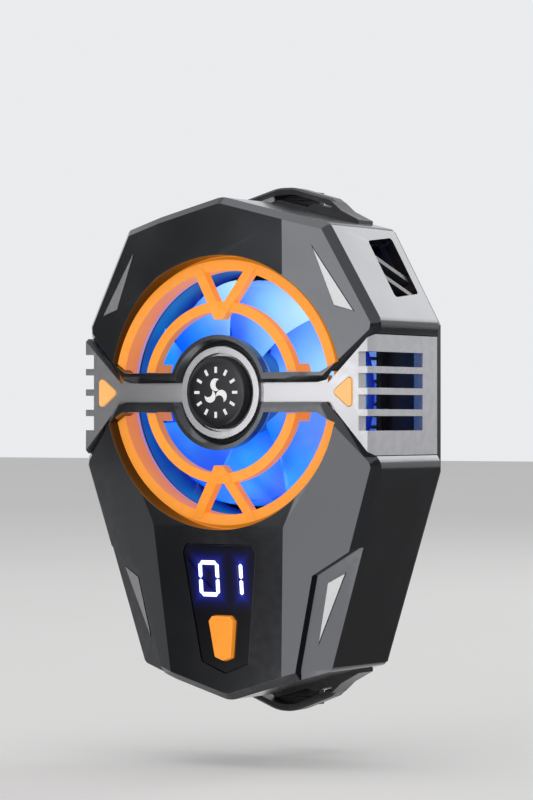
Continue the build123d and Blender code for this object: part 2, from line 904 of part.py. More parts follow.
def make_rear_cover():
    """The plate that closes the back, with a lip that fits inside the covers' walls."""
    half = [(0, top_apex_z), (top_shoulder_x, top_shoulder_z), (body_half_width, top_corner_z),
            (body_half_width, -low_corner_z), (low_shoulder_x, -low_shoulder_z), (0, -low_apex_z)]
    shape = rounded(mirrored_outline(half), [(0, top_apex_z, apex_round), (0, -low_apex_z, apex_round)])
    rim = offset(shape, amount=-rear_rim_inset, kind=Kind.INTERSECTION)
    rim = rim & Rectangle(2 * frame_half_width, 2 * low_apex_z)
    lip = offset(shape, amount=-wall - fit_gap, kind=Kind.INTERSECTION)
    lip = lip & Rectangle(2 * (frame_half_width - frame_wall - fit_gap), 2 * low_apex_z)
    plate = slab(rim, rear_cover_depth, shell_back_depth - seam)
    plate += slab(lip, rear_cover_depth, rear_inner_depth)
    plate -= slab(Rectangle(2 * (module_half + foam_clearance), 2 * (module_half + foam_clearance)),
                  0, front_depth)
    top, low = boss_places()
    for x, z in top + low:
        plate -= slab(Pos(x, z) * Circle(screw_r + screw_clearance), 0, front_depth)
        plate -= slab(Pos(x, z) * Circle(screw_head_r + screw_clearance), 0,
                      rear_cover_depth + screw_head_long)
    for s in (1, -1):
        plate -= slab(Pos(s * sink_screw_x, 0) * Circle(sink_screw_r + screw_clearance), 0, front_depth)
    return plate


def make_screws(places, radius, head_r, head_long, long, head_depth, hollow_r, hollow_deep):
    """Screws that point to the front, heads to the back, each with a hexagon socket."""
    screws = []
    for x, z in places:
        screw = slab(Pos(x, z) * Circle(head_r), head_depth, head_depth + head_long)
        screw += slab(Pos(x, z) * Circle(radius), head_depth, head_depth + long)
        screw -= slab(Pos(x, z) * RegularPolygon(hollow_r, 6), 0, head_depth + hollow_deep)
        screws.append(screw)
    return solids_group(screws)


# Grille, light ring and LEDs
def make_vee(sign):
    """A V-shaped rib that falls from its tip near the hub to the outer ring."""
    run_x = vee_top_x - vee_tip_half
    run_z = math.sqrt(ring_inner_r ** 2 - vee_top_x ** 2) + vee_bar - vee_tip_z
    width = vee_bar * math.hypot(run_x, run_z) / run_z
    far_z = vee_tip_z + run_z
    shape = outline_shape((-vee_tip_half, sign * vee_tip_z), (-vee_top_x, sign * far_z),
                          (-vee_top_x + width, sign * far_z),
                          (0, sign * (vee_tip_z + run_z * (width - vee_tip_half) / run_x)),
                          (vee_top_x - width, sign * far_z), (vee_top_x, sign * far_z),
                          (vee_tip_half, sign * vee_tip_z))
    rib = slab(shape, collar_back_depth - grille_thick, front_depth)
    out = Vector(0, -1, sign * vee_slope).normalized()
    for depth, kept in ((vee_tip_depth, Keep.BOTTOM), (vee_tip_depth - rib_thick, Keep.TOP)):
        tip = Vector(0, -depth, sign * vee_tip_z)
        rib = split(rib, bisect_by=Plane(origin=tip, z_dir=out), keep=kept)
    return rib


def make_grille():
    """A low dome of two rings and two ribs, whose rings step down to pass under the band."""
    dome = ring(opening_r, ring_inner_r, collar_back_depth, ring_front_depth)
    dome += ring(small_ring_outer_r, small_ring_inner_r, small_ring_depth - rib_thick, small_ring_depth)
    for sign in (1, -1):
        dome += make_vee(sign)
    step = ring(small_ring_outer_r, small_ring_inner_r, grille_back_depth, small_ring_depth)
    step = step & slab(Rectangle(2 * opening_r, 2 * grille_step_z), 0, front_depth)
    dome += step
    grille = ring(grille_seat_r, ring_inner_r, grille_back_depth, collar_back_depth)
    halves = []
    for upper in (True, False):
        inside = Circle(opening_r) & offset(opening_shape(upper), amount=-seam, kind=Kind.INTERSECTION)
        halves.append(dome & slab(inside, collar_back_depth - rib_thick, front_depth))
    grille = grille + halves[0] + halves[1]
    return grille + (step & slab(Circle(opening_r), 0, collar_back_depth))


def led_places():
    """Flat boxes round the light ring, each turned to face the centre."""
    spots = []
    middle_r = light_ring_outer_r + running_gap + led_wide / 2
    for i in range(led_count):
        spots.append(Rot(0, 0, 360 * i / led_count) * Pos(0, middle_r) * Rectangle(led_long, led_wide))
    return spots


# Fan
def make_fan_housing():
    duct = ring(duct_r + duct_wall, duct_r, fan_back_depth, flange_front_depth)
    duct += ring(grille_seat_r, duct_r, flange_front_depth - duct_flange, flange_front_depth)
    base = drum(base_disc_r, fan_back_depth, fan_back_depth + fan_base_thick)
    for i in range(spoke_count):
        turn = Rot(0, 0, 360 * (i + 0.5) / spoke_count)
        spoke = turn * Pos(duct_r / 2, 0) * Rectangle(duct_r + duct_wall, spoke_width)
        base += slab(spoke, fan_back_depth, fan_back_depth + fan_base_thick)
    base += ring(tube_r, sleeve_r, fan_back_depth, tube_front_depth)
    return duct + base


def blade_section(radius, pitch, sweep):
    """One blade's section at a radius: a thin slanted bar across the flow, swept round."""
    chord = blade_span / math.cos(math.radians(pitch))
    middle = blade_front_depth - blade_span / 2
    lean = blade_thick / 2
    along = Vector(math.sin(math.radians(pitch)), -math.cos(math.radians(pitch)))
    across = Vector(-along.Y, along.X)
    ends = [along * (s * chord / 2) + across * (t * lean) for s, t in ((1, 1), (1, -1), (-1, -1), (-1, 1))]
    shape = outline_shape(*[(p.X, p.Y) for p in ends])
    place = Plane(origin=(0, -middle, radius), x_dir=(1, 0, 0), z_dir=(0, 0, 1))
    return (place * shape).rotate(Axis.Y, sweep)


def make_rotor():
    hub = drum(rotor_r, rotor_back_depth, rotor_front_depth)
    hub = fillet(hub.edges().group_by(Axis.Y)[0], rotor_wall / 2)
    hub -= drum(rotor_r - rotor_wall, 0, rotor_front_depth - rotor_wall)
    boss_low = rotor_front_depth - rotor_wall - rotor_boss_long
    hub += drum(rotor_boss_r, boss_low, rotor_front_depth - rotor_wall / 2)
    hub -= drum(shaft_r, 0, rotor_front_depth - rotor_wall / 2)
    root_r = rotor_r - rotor_wall / 2
    tip_r = duct_r + blade_thick
    root = blade_section(root_r, blade_root_pitch, 0)
    tip = blade_section(tip_r, blade_tip_pitch, blade_sweep)
    blade = loft([root, tip], ruled=True)
    blade = blade & ring(duct_r - blade_tip_clearance, rotor_r - rotor_wall / 2, 0, rotor_front_depth)
    rotor = hub
    for i in range(blade_count):
        rotor += blade.rotate(Axis.Y, 360 * i / blade_count)
    return rotor


def make_stator():
    core = ring(tube_r + tooth_width / 2, tube_r, stator_low, stator_high)
    shoe = Circle(stator_r) - Circle(stator_r - shoe_thick)
    coils = []
    for i in range(pole_count):
        turn = Rot(0, 0, 360 * i / pole_count)
        tooth = turn * Pos((tube_r + stator_r) / 2, 0) * Rectangle(stator_r - tube_r, tooth_width)
        core += slab(tooth & (Circle(stator_r) - Circle(tube_r)), stator_low, stator_high)
        half = math.radians(shoe_angle / 2)
        wedge = outline_shape((0, 0), (2 * stator_r * math.cos(half), 2 * stator_r * math.sin(half)),
                              (2 * stator_r * math.cos(half), -2 * stator_r * math.sin(half)))
        core += slab(shoe & (turn * wedge), stator_low, stator_high)
        inner_r = tube_r + tooth_width / 2 + seam / 2
        outer_r = math.sqrt((stator_r - shoe_thick) ** 2 - (tooth_width / 2 + coil_build) ** 2) - seam / 2
        spot = turn * Pos((inner_r + outer_r) / 2, 0)
        wide = spot * Rectangle(outer_r - inner_r, tooth_width + 2 * coil_build)
        narrow = spot * Rectangle(outer_r - inner_r, tooth_width)
        coil = slab(wide, stator_low - coil_end, stator_high + coil_end)
        coils.append(coil - slab(narrow, stator_low, stator_high))
    return core, solids_group(coils)


# Cooling stack
def make_peltier():
    tile = Rectangle(2 * module_half, 2 * module_half)
    module = slab(tile, pedestal_depth, pedestal_depth + ceramic_thick)
    module += slab(tile, sink_back_depth - ceramic_thick, sink_back_depth)
    step = (2 * module_half - ceramic_thick) / pellet_rows
    pellet = RectangleRounded(pellet_width, pellet_width, ceramic_thick / 2)
    grid = GridLocations(step, step, pellet_rows, pellet_rows)
    module += slab(Sketch() + [spot * pellet for spot in grid], pedestal_depth, sink_back_depth)
    return module


def make_foam():
    hole = 2 * (module_half + foam_clearance)
    foam = Rectangle(2 * sink_half_x, 2 * sink_half_z) - Rectangle(hole, hole)
    for s in (1, -1):
        foam -= Pos(s * sink_screw_x, 0) * Circle(sink_screw_r + screw_clearance)
    return slab(foam, rear_inner_depth, sink_back_depth)


def make_heat_sink():
    sink = slab(Rectangle(2 * sink_half_x, 2 * sink_half_z), sink_back_depth, sink_base_depth)
    pitch = (2 * sink_half_z - fin_thick) / (fin_count - 1)
    for i in range(fin_count):
        z = -sink_half_z + fin_thick / 2 + i * pitch
        sink += slab(Pos(0, z) * Rectangle(2 * sink_half_x, fin_thick), sink_back_depth, fin_top_depth)
    for s in (1, -1):
        sink -= slab(Pos(s * sink_screw_x, 0) * Circle(sink_screw_r + screw_clearance), 0, fin_top_depth)
    return sink


def make_cold_plate():
    half_x = pad_half_x + plate_margin
    half_z = pad_half_z + plate_margin
    plate = slab(RectangleRounded(2 * half_x, 2 * half_z, pad_round), pad_thick, rear_cover_depth)
    plate += slab(Rectangle(2 * module_half, 2 * module_half), pad_thick, pedestal_depth)
    for s in (1, -1):
        spot = Pos(s * sink_screw_x, 0)
        plate -= slab(spot * Circle(sink_screw_r + screw_clearance), 0, front_depth)
        head = spot * Circle(sink_screw_head_r + screw_clearance)
        plate -= slab(head, 0, pad_thick + sink_screw_head_long)
    return plate


def make_rod_set(upper):
    """Two steel rods, headed at their inner ends and pressed into the claw at the outer."""
    head_top = spring_end_z(upper) - spring_long
    head_low = head_top - rod_head_long
    top = claw_line(upper, rod_x) - claw_thick + rod_bite
    rods = rod_cylinders(upper, rod_r, head_low, top)
    heads = rod_cylinders(upper, rod_head_r, head_low, head_top)
    return solids_group([rod + head for rod, head in zip(rods, heads)])


def claw_line(upper, x):
    """Height of a claw's outer edge at a given x; it falls a little faster than the body's edge."""
    rise = claw_rise if upper else low_claw_rise
    fall_share = claw_fall_share if upper else low_claw_fall_share
    slope = fall_share * (roof_z(upper, 0) - roof_z(upper, rod_x)) / rod_x
    return roof_z(upper, 0) + rise - slope * max(0, x - claw_flat_half)


def make_claw(upper):
    """An arch over the edge, open in front of each rod, and the hook that grips the phone."""
    sign = 1 if upper else -1
    seat = guide_high + claw_gap
    half = [(0, claw_line(upper, 0)), (claw_flat_half, claw_line(upper, 0)),
            (claw_shoulder_x, claw_line(upper, claw_shoulder_x)),
            (claw_end_x, claw_line(upper, claw_end_x) - claw_end_drop),
            (claw_end_x, roof_z(upper, claw_end_x) + seat), (claw_leg_x, roof_z(upper, claw_leg_x) + seat),
            (claw_leg_x, claw_line(upper, claw_leg_x) - claw_thick),
            (claw_flat_half, claw_line(upper, 0) - claw_thick), (0, claw_line(upper, 0) - claw_thick)]
    arch = mirrored_outline([(x, sign * z) for x, z in half])
    arch = rounded(arch, [(claw_flat_half, sign * half[1][1], claw_round),
                          (claw_flat_half, sign * half[-2][1], claw_round - claw_thick)])
    claw = slab(arch, claw_back_depth, claw_front_depth)
    front = claw.edges().filter_by_position(Axis.Y, -claw_front_depth - seam, -claw_front_depth + seam)
    high = [e for e in front if abs(e.center().Z) > claw_line(upper, abs(e.center().X)) - claw_end_drop]
    claw = chamfer(high, claw_bevel)
    notch_high = claw_line(upper, rod_x) - claw_notch_drop
    notch = Pos(0, sign * notch_high / 2) * Rectangle(2 * (claw_end_x + overrun), notch_high)
    notch -= Pos(0, sign * notch_high / 2) * Rectangle(2 * claw_shoulder_x, notch_high)
    claw -= slab(notch, rod_depth, front_depth)
    inner = hook_inner_z if upper else low_hook_inner_z
    web_front = hook_back_gap + hook_thick

    def hook_bar(low_z, high_z, low, high):
        middle = sign * (low_z + high_z) / 2
        return slab(Pos(0, middle) * Rectangle(2 * hook_half_x, high_z - low_z), low, high)

    top = claw_line(upper, hook_half_x)
    claw += hook_bar(top - claw_thick, top, hook_back_gap, claw_back_depth + seam)
    claw += hook_bar(inner, top, hook_back_gap, web_front)
    claw += hook_bar(inner, inner + hook_thick, -hook_reach, web_front)
    claw += hook_bar(inner - hook_lip, inner + hook_thick, -hook_reach, -hook_reach + hook_lip_thick)
    for rod in make_rod_set(upper).solids():
        claw -= rod
    return claw


def make_hook_pad(upper):
    sign = 1 if upper else -1
    inner = hook_inner_z if upper else low_hook_inner_z
    spot = Pos(0, sign * (inner - hook_pad_thick / 2))
    pad = slab(spot * Rectangle(2 * (hook_half_x - trim_thick), hook_pad_thick),
               -hook_reach + hook_lip_thick, -pad_thick)
    return pad


def make_claw_guide(upper):
    """The fixed rail on the roof that the claw's rods slide through, with a fin at each end."""
    sign = 1 if upper else -1
    low = -guide_bite
    half = [(0, roof_z(upper, 0) + guide_middle_high),
            (guide_ramp_x, roof_z(upper, guide_ramp_x) + guide_middle_high),
            (guide_ramp_end_x, roof_z(upper, guide_ramp_end_x) + guide_high),
            (tail_inner_x, roof_z(upper, tail_inner_x) + guide_high),
            (tail_inner_x, roof_z(upper, tail_inner_x) + tail_high),
            (tail_mid_x, roof_z(upper, tail_mid_x) + tail_mid_high),
            (guide_half_x, roof_z(upper, guide_half_x) + tail_end_high),
            (guide_half_x, roof_z(upper, guide_half_x) + low), (0, roof_z(upper, 0) + low)]
    rail = slab(mirrored_outline([(x, sign * z) for x, z in half]), guide_back_depth, guide_front_depth)
    rail -= bevelled(blank(upper, 0, 0, shell_back_depth - overrun), upper, 0)
    rail = split(rail, bisect_by=Plane.XZ.offset(shell_back_depth + seam), keep=Keep.TOP)
    rod_start = roof_inner_z(upper, rod_x) - overrun
    for bar in rod_cylinders(upper, rod_r + rod_clearance, rod_start, roof_z(upper, 0) + guide_high):
        rail -= bar
    return rail


def least_coil_gap(path):
    """The least gap between one turn of a spring's wire and the next, measured on points."""
    count = math.ceil(spring_sample_count * spring_turns)
    points = [path @ (i / count) for i in range(count + 1)]
    apart = spring_sample_count // 2
    pairs = [(i, j) for i in range(count + 1) for j in range(i + apart, count + 1)]
    return min((points[i] - points[j]).length for i, j in pairs) - 2 * spring_wire_r


def make_springs(upper):
    """Coil springs round the rods, each one unbroken wire from the rod's head to the wall."""
    sign = 1 if upper else -1
    end = spring_end_z(upper)
    start = end - spring_long + spring_wire_r + seam / 2
    height = end - spring_wire_r - start
    springs = []
    for s in (1, -1):
        path = Helix(height / spring_turns, height, spring_r)
        wire = Plane(origin=path @ 0, z_dir=path % 0) * Circle(spring_wire_r)
        coil = sweep(wire, path=path)
        place = Plane(origin=(s * rod_x, -rod_depth, sign * start), x_dir=(1, 0, 0), z_dir=(0, 0, sign))
        springs.append(place * coil)
    print("least gap of the spring's turns:", round(least_coil_gap(path), 2))
    return solids_group(springs)


def make_side_vent(side):
    """A dark insert behind a side window: a thin frame with slanted ribs across it."""
    plane = side_wall_plane(side)
    turn = 1 if plane.y_dir.Y < 0 else -1
    frame = extrude(window_shape(side, vent_margin), amount=-vent_plate_thick)
    frame -= extrude(window_shape(side, 0), amount=-vent_plate_thick)
    frame = frame.translate(plane.z_dir * -(wall + seam / 2))
    for i in range(vent_rib_count):
        top = window_front_start + vent_rib_start + i * vent_rib_step
        low = top + vent_rib_slant
        bar = outline_shape((top, turn * window_front_depth),
                            (top + vent_rib_width, turn * window_front_depth),
                            (low + vent_rib_width, turn * window_back_depth),
                            (low, turn * window_back_depth))
        rib = extrude(plane * bar, amount=-(wall + seam / 2 + vent_plate_thick - vent_rib_sink))
        rib = rib.translate(plane.z_dir * -vent_rib_sink)
        clear = extrude(window_shape(side, -vent_frame_clearance), amount=-(wall + seam / 2))
        back = extrude(window_shape(side, vent_margin), amount=-vent_plate_thick)
        back = back.translate(plane.z_dir * -(wall + seam / 2))
        frame += rib & (clear + back)
    return frame


def make_hub_cap():
    cap = drum(cap_r, band_flange_depth, front_depth + cap_proud)
    cap = fillet(cap.edges().group_by(Axis.Y)[0], cap_edge_round)
    return cap - slab(emblem_shape(), front_depth + cap_proud - emblem_recess, front_depth + 2 * cap_proud)


def emblem_shape():
    """A plain round of ticks about a three-vaned fan."""
    shape = Sketch()
    tick = Pos(0, (tick_inner_r + tick_outer_r) / 2) * Rectangle(tick_width, tick_outer_r - tick_inner_r)
    for i in range(tick_count):
        shape += Rot(0, 0, 360 * i / tick_count) * tick
    for i in range(vane_count):
        vane = Pos(0, vane_offset) * Circle(vane_r) - Pos(vane_bite_shift, vane_offset) * Circle(vane_bite_r)
        shape += Rot(0, 0, 360 * i / vane_count) * vane
    return shape


def digit_segments():
    """The lit bars of a nought and a one, as on a clock."""
    half_w = digit_width / 2
    half_h = digit_height / 2
    inner_h = half_h - digit_bar
    level = digit_width - 2 * digit_bar - 2 * digit_bar_gap
    upright = inner_h - digit_bar_gap
    side_x = half_w - digit_bar / 2
    nought_x = -digit_half_step
    one_x = digit_half_step + half_w - digit_bar
    bars = []
    for s in (1, -1):
        middle_z = -digit_z + s * (digit_bar_gap + upright / 2)
        for x in (nought_x - side_x, nought_x + side_x, one_x):
            bars.append(Pos(x, middle_z) * Rectangle(digit_bar, upright))
        end_z = -digit_z + s * (half_h - digit_bar / 2)
        bars.append(Pos(nought_x, end_z) * Rectangle(level, digit_bar))
    return bars


def make_inlet():
    plane = inlet_plane()
    place = Plane(origin=plane.origin - plane.z_dir * seam, x_dir=plane.x_dir, z_dir=plane.z_dir)
    shell = extrude(place * inlet_shape(0), amount=-inlet_deep)
    shell -= extrude(place * inlet_shape(-inlet_wall), amount=-(inlet_deep - inlet_floor))
    tongue = place * Rectangle(inlet_tongue, inlet_wide - 2 * inlet_tongue_margin)
    tongue = tongue.translate(place.z_dir * -inlet_deep)
    return shell + extrude(tongue, amount=inlet_tongue_long + inlet_floor, dir=place.z_dir)


def make_board():
    board = outline_shape((board_half_x, -board_top_z), (board_half_x, -board_low_z),
                          (-board_half_x, -board_low_z), (-board_half_x, -board_tab_low_z),
                          (-board_tab_x, -board_tab_low_z), (-board_tab_x, -board_tab_top_z),
                          (-board_half_x, -board_tab_top_z), (-board_half_x, -board_top_z))
    for x, z in post_places():
        board -= Pos(x, z) * Circle(board_screw_r + screw_clearance)
    return slab(board, board_back_depth, board_front_depth)


def board_parts():
    """What sits on the board's rear face: a choke, a capacitor and a driver chip."""
    choke = slab(Pos(-choke_x, -choke_z) * RectangleRounded(2 * choke_half, 2 * choke_half, choke_half / 2),
                 board_back_depth - choke_high, board_back_depth)
    capacitor = slab(Pos(capacitor_x, -capacitor_z) * Circle(capacitor_r),
                     board_back_depth - capacitor_high, board_back_depth)
    chip = slab(Pos(chip_x, -chip_z) * Rectangle(2 * chip_half, 2 * chip_half),
                board_back_depth - chip_high, board_back_depth)
    return choke, capacitor, chip


def make_button():
    """The button's cap and flange follow the panel's slope; the flange is behind the window."""
    behind_window = window_sink + window_thick + button_window_gap
    cap = panel_prism(button_shape(0), -button_proud, button_proud + behind_window + button_flange_thick / 2)
    flange = panel_prism(button_shape(button_flange), behind_window, button_flange_thick)
    return cap + flange


def make_plunger():
    behind = window_sink + window_thick + button_window_gap + button_flange_thick
    low = board_front_depth + switch_floor + button_travel + plunger_spare
    rod = slab(Pos(0, -switch_z) * Circle(plunger_r), low, front_depth)
    return split(rod, bisect_by=facet(0, -low_slope, 0, -low_break_z, behind), keep=Keep.BOTTOM)


def make_switch():
    switch = slab(Pos(0, -switch_z) * Rectangle(2 * switch_half, 2 * switch_half),
                  board_front_depth, board_front_depth + switch_high)
    return switch - slab(Pos(0, -switch_z) * Circle(plunger_r + plunger_clearance),
                         board_front_depth + switch_floor, front_depth)


def make_display():
    digits = [panel_prism(bar, window_sink - digit_proud, window_thick + digit_proud)
              for bar in digit_segments()]
    window = panel_prism(display_shape(-fit_gap), window_sink, window_thick)
    window -= panel_cut(button_shape(fit_gap), wall)
    for bar in digit_segments():
        window -= panel_cut(bar, wall)
    block = slab(Pos(0, -digit_z) * Rectangle(2 * module_block_half_x, 2 * module_block_half_z),
                 board_front_depth, front_depth)
    behind = facet(0, -low_slope, 0, -low_break_z, window_sink + window_thick)
    return window, solids_group(digits), split(block, bisect_by=behind, keep=Keep.BOTTOM)


# Case
for name, upper in (("upper", True), ("lower", False)):
    save(make_cover(upper), name + "_front_cover")
    save(make_claw_guide(upper), name + "_claw_guide")
    save(make_claw(upper), name + "_claw")
    save(make_rod_set(upper), name + "_claw_rods")
    save(make_springs(upper), name + "_claw_springs")
    save(make_hook_pad(upper), name + "_claw_pad")
    for side_name, side in (("right", 1), ("left", -1)):
        sink = trim_sink - trim_thick + (0 if upper else cheek_sink)
        save(trim_block(upper, side, 0, sink, trim_thick), name + "_trim_" + side_name)
save(make_band(), "center_band")
save(make_rear_cover(), "rear_cover")
top_bosses, low_bosses = boss_places()
save(make_screws(top_bosses + low_bosses, screw_r, screw_head_r, screw_head_long, screw_long,
                 rear_cover_depth, socket_r, socket_deep), "case_screws")
for side_name, side in (("right", 1), ("left", -1)):
    save(make_side_vent(side), "side_vent_" + side_name)
    lens = slab(lens_shape(side, 0), band_depth - lens_sink, band_depth + lens_proud)
    save(lens, "side_lens_" + side_name)
save(make_hub_cap(), "hub_cap")
save(slab(emblem_shape(), front_depth + cap_proud - emblem_recess, front_depth + cap_proud + emblem_proud),
     "hub_emblem")

# Grille and lights
save(make_grille(), "grille")
save(ring(light_ring_outer_r, duct_r, light_back_depth, grille_back_depth), "light_ring")
save(ring(grille_seat_r, duct_r + duct_clearance, flange_front_depth, light_back_depth), "led_board")
leds = [slab(spot, light_back_depth, light_back_depth + led_high) for spot in led_places()]
save(solids_group(leds), "leds")

# Fan
fan_floor_depth = fan_back_depth + fan_base_thick
save(make_fan_housing(), "fan_housing")
save(ring(base_disc_r - socket_r, tube_r + running_gap, fan_floor_depth, fan_floor_depth + fan_board_thick),
     "fan_board")
save(ring(sleeve_r, shaft_r + shaft_clearance, fan_floor_depth + duct_clearance,
          tube_front_depth - duct_clearance), "fan_bearing")
stator, coils = make_stator()
save(stator, "stator_core")
save(coils, "stator_coils")
save(make_rotor(), "fan_rotor")
save(ring(yoke_r, magnet_r, rotor_back_depth + duct_clearance, rotor_front_depth - rotor_wall), "rotor_yoke")
save(ring(magnet_r, magnet_r - magnet_wall, rotor_back_depth + magnet_setback,
          rotor_back_depth + magnet_setback + magnet_long), "rotor_magnet")
save(drum(shaft_r, fan_floor_depth + magnet_setback, rotor_front_depth - rotor_wall / 2), "fan_shaft")

# Cooling stack
save(slab(RectangleRounded(2 * pad_half_x, 2 * pad_half_z, pad_round), 0, pad_thick), "thermal_pad")
save(make_cold_plate(), "cold_plate")
save(make_peltier(), "peltier_module")
save(make_foam(), "foam_frame")
save(make_heat_sink(), "heat_sink")
save(make_screws([(sink_screw_x, 0), (-sink_screw_x, 0)], sink_screw_r, sink_screw_head_r,
                 sink_screw_head_long, sink_base_depth - pad_thick, pad_thick, socket_r, socket_deep),
     "sink_screws")

# Display, button, circuit board and power inlet
window, digits, display_block = make_display()
save(window, "display_window")
save(digits, "display_digits")
save(display_block, "display_module")
save(make_button(), "power_button")
save(make_plunger(), "switch_plunger")
save(make_switch(), "button_switch")
save(make_board(), "control_board")
choke, capacitor, chip = board_parts()
save(choke, "board_choke")
save(capacitor, "board_capacitor")
save(chip, "board_chip")
save(make_screws(post_places(), board_screw_r, board_screw_head_r, board_screw_head_long, board_screw_long,
                 board_back_depth - board_screw_head_long, socket_r, socket_deep), "board_screws")
save(make_inlet(), "power_inlet")
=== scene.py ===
# %% [markdown]
# # A clip-on cooler for a phone
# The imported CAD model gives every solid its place. This lesson dresses it: edges get
# their small radii, soft and wound parts get their real form, and each surface gets a
# material that is mixed from nodes. One unit is one metre, the fan faces -Y, +Z is up.

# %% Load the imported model
import json
import math

import bmesh
import bpy
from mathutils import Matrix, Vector

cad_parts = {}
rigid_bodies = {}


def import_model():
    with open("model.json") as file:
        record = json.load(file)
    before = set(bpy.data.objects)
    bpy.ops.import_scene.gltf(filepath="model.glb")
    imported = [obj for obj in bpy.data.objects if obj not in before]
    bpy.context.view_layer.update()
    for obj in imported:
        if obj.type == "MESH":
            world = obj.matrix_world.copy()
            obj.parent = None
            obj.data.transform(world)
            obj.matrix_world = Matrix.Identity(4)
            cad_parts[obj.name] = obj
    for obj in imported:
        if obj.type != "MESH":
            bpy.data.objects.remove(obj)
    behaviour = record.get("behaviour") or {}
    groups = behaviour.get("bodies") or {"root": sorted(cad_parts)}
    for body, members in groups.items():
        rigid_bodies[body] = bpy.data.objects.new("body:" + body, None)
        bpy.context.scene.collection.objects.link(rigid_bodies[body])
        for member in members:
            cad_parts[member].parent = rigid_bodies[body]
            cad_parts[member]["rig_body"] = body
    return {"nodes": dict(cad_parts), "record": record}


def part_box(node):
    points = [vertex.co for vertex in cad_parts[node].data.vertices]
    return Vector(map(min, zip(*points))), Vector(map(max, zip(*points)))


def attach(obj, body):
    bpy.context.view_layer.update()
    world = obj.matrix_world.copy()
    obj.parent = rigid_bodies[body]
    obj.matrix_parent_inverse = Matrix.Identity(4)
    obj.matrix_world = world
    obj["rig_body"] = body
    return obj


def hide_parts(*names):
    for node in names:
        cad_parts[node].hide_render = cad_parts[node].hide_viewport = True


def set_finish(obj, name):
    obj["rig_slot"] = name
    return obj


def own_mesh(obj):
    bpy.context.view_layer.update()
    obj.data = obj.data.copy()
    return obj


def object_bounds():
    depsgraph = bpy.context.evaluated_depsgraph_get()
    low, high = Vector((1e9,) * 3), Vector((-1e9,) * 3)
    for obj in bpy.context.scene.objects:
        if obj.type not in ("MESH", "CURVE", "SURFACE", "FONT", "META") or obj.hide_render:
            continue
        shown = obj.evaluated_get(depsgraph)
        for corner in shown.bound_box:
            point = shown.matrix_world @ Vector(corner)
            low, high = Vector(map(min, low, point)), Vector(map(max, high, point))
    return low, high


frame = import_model()
nodes = frame["nodes"]
cad_box = [list(corner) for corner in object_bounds()]
MM = 0.001
print("nodes:", len(nodes), "box in mm:", [[round(v / MM, 1) for v in c] for c in cad_box])

# %% [markdown]
# ## The camera
# The photograph was taken from the right of the fan, nearly level with it, with a long
# lens. A long lens keeps the cooler's edges almost parallel. The place and the direction
# come from matching a dozen corners of the body with the photograph.

# %% Place the camera
camera_data = bpy.data.cameras.new("photo_camera")
camera_data.lens = 139.19
camera_data.sensor_width = 36.0
camera_data.clip_start = 0.01
camera = bpy.data.objects.new("photo_camera", camera_data)
bpy.context.scene.collection.objects.link(camera)
camera.location = (0.2504, -0.4114, -0.0040)
camera.rotation_euler = Vector((-0.52991, 0.84803, 0.00623)).to_track_quat("-Z", "Y").to_euler()
bpy.context.scene.camera = camera
print("camera:", [round(v, 3) for v in camera.location], "lens:", camera_data.lens)

# %% [markdown]
# ## Small tools
# Three helpers do most of the work. One makes an object from a mesh and tells the frame
# which body it rides on. One turns a profile round an axis, as a lathe does. One copies a
# CAD solid and rounds its edges: a moulded or machined edge is never perfectly sharp, and
# the thin line of light that runs along it is what makes it look real.


# %% Make a piece and put it on its body
def add_piece(name, mesh, body, slot, replaced=()):
    piece = bpy.data.objects.new(name, mesh)
    bpy.context.scene.collection.objects.link(piece)
    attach(piece, body)
    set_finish(piece, slot)
    if replaced:
        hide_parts(*replaced)
    return piece


def body_of_node(name):
    return nodes[name]["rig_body"]


slot_of_node = {part["node"]: part["material_slot"] for part in frame["record"]["subparts"]}


# %% Turn a profile round the fan's axis
def turned_mesh(name, profile, steps=128):
    """A closed turned shape from (radius, depth) points in mm; a depth runs to the front."""
    shape = bmesh.new()
    loops = []
    for radius, depth in profile:
        if radius == 0:
            loops.append([shape.verts.new((0, -depth * MM, 0))])
            continue
        loops.append([shape.verts.new((radius * MM * math.sin(2 * math.pi * i / steps), -depth * MM,
                                       radius * MM * math.cos(2 * math.pi * i / steps)))
                      for i in range(steps)])
    count = len(loops)
    closed = profile[0][0] > 0 or profile[-1][0] > 0
    for i in range(count if closed else count - 1):
        near, far = loops[i], loops[(i + 1) % count]
        for j in range(steps):
            k = (j + 1) % steps
            corners = [near[j % len(near)], near[k % len(near)], far[k % len(far)], far[j % len(far)]]
            unique = list(dict.fromkeys(corners))
            if len(unique) > 2:
                shape.faces.new(unique)
    bmesh.ops.recalc_face_normals(shape, faces=shape.faces)
    for face in shape.faces:
        face.smooth = True
    mesh = bpy.data.meshes.new(name)
    shape.to_mesh(mesh)
    shape.free()
    return mesh


# %% Find the edges that a CAD solid should round
JOIN_REACH = 0.002 * MM
FLAT_TURN, RIDGE_TURN, CORNER_TURN = math.radians(0.6), math.radians(4), math.radians(28)
RIDGE_AREA = 40 * MM * MM
EDGE_WEIGHT = 0.4


def whole_faces(node):
    """The CAD mesh with its corners joined and its flat faces made whole again."""
    shape = bmesh.new()
    shape.from_mesh(nodes[node].data)
    bmesh.ops.remove_doubles(shape, verts=shape.verts, dist=JOIN_REACH)
    bmesh.ops.dissolve_limit(shape, angle_limit=FLAT_TURN, verts=shape.verts, edges=shape.edges)
    bmesh.ops.recalc_face_normals(shape, faces=shape.faces)
    return shape


def weigh_edges(shape, extra=None):
    """Give each sharp edge a bevel weight: corners by their angle, ridges by their faces' size."""
    layer = shape.edges.layers.float.new("bevel_weight_edge")
    for edge in shape.edges:
        turn = edge.calc_face_angle(0.0)
        wide = min((face.calc_area() for face in edge.link_faces), default=0) > RIDGE_AREA
        if turn > CORNER_TURN or (wide and turn > RIDGE_TURN):
            edge[layer] = extra(edge) if extra else EDGE_WEIGHT


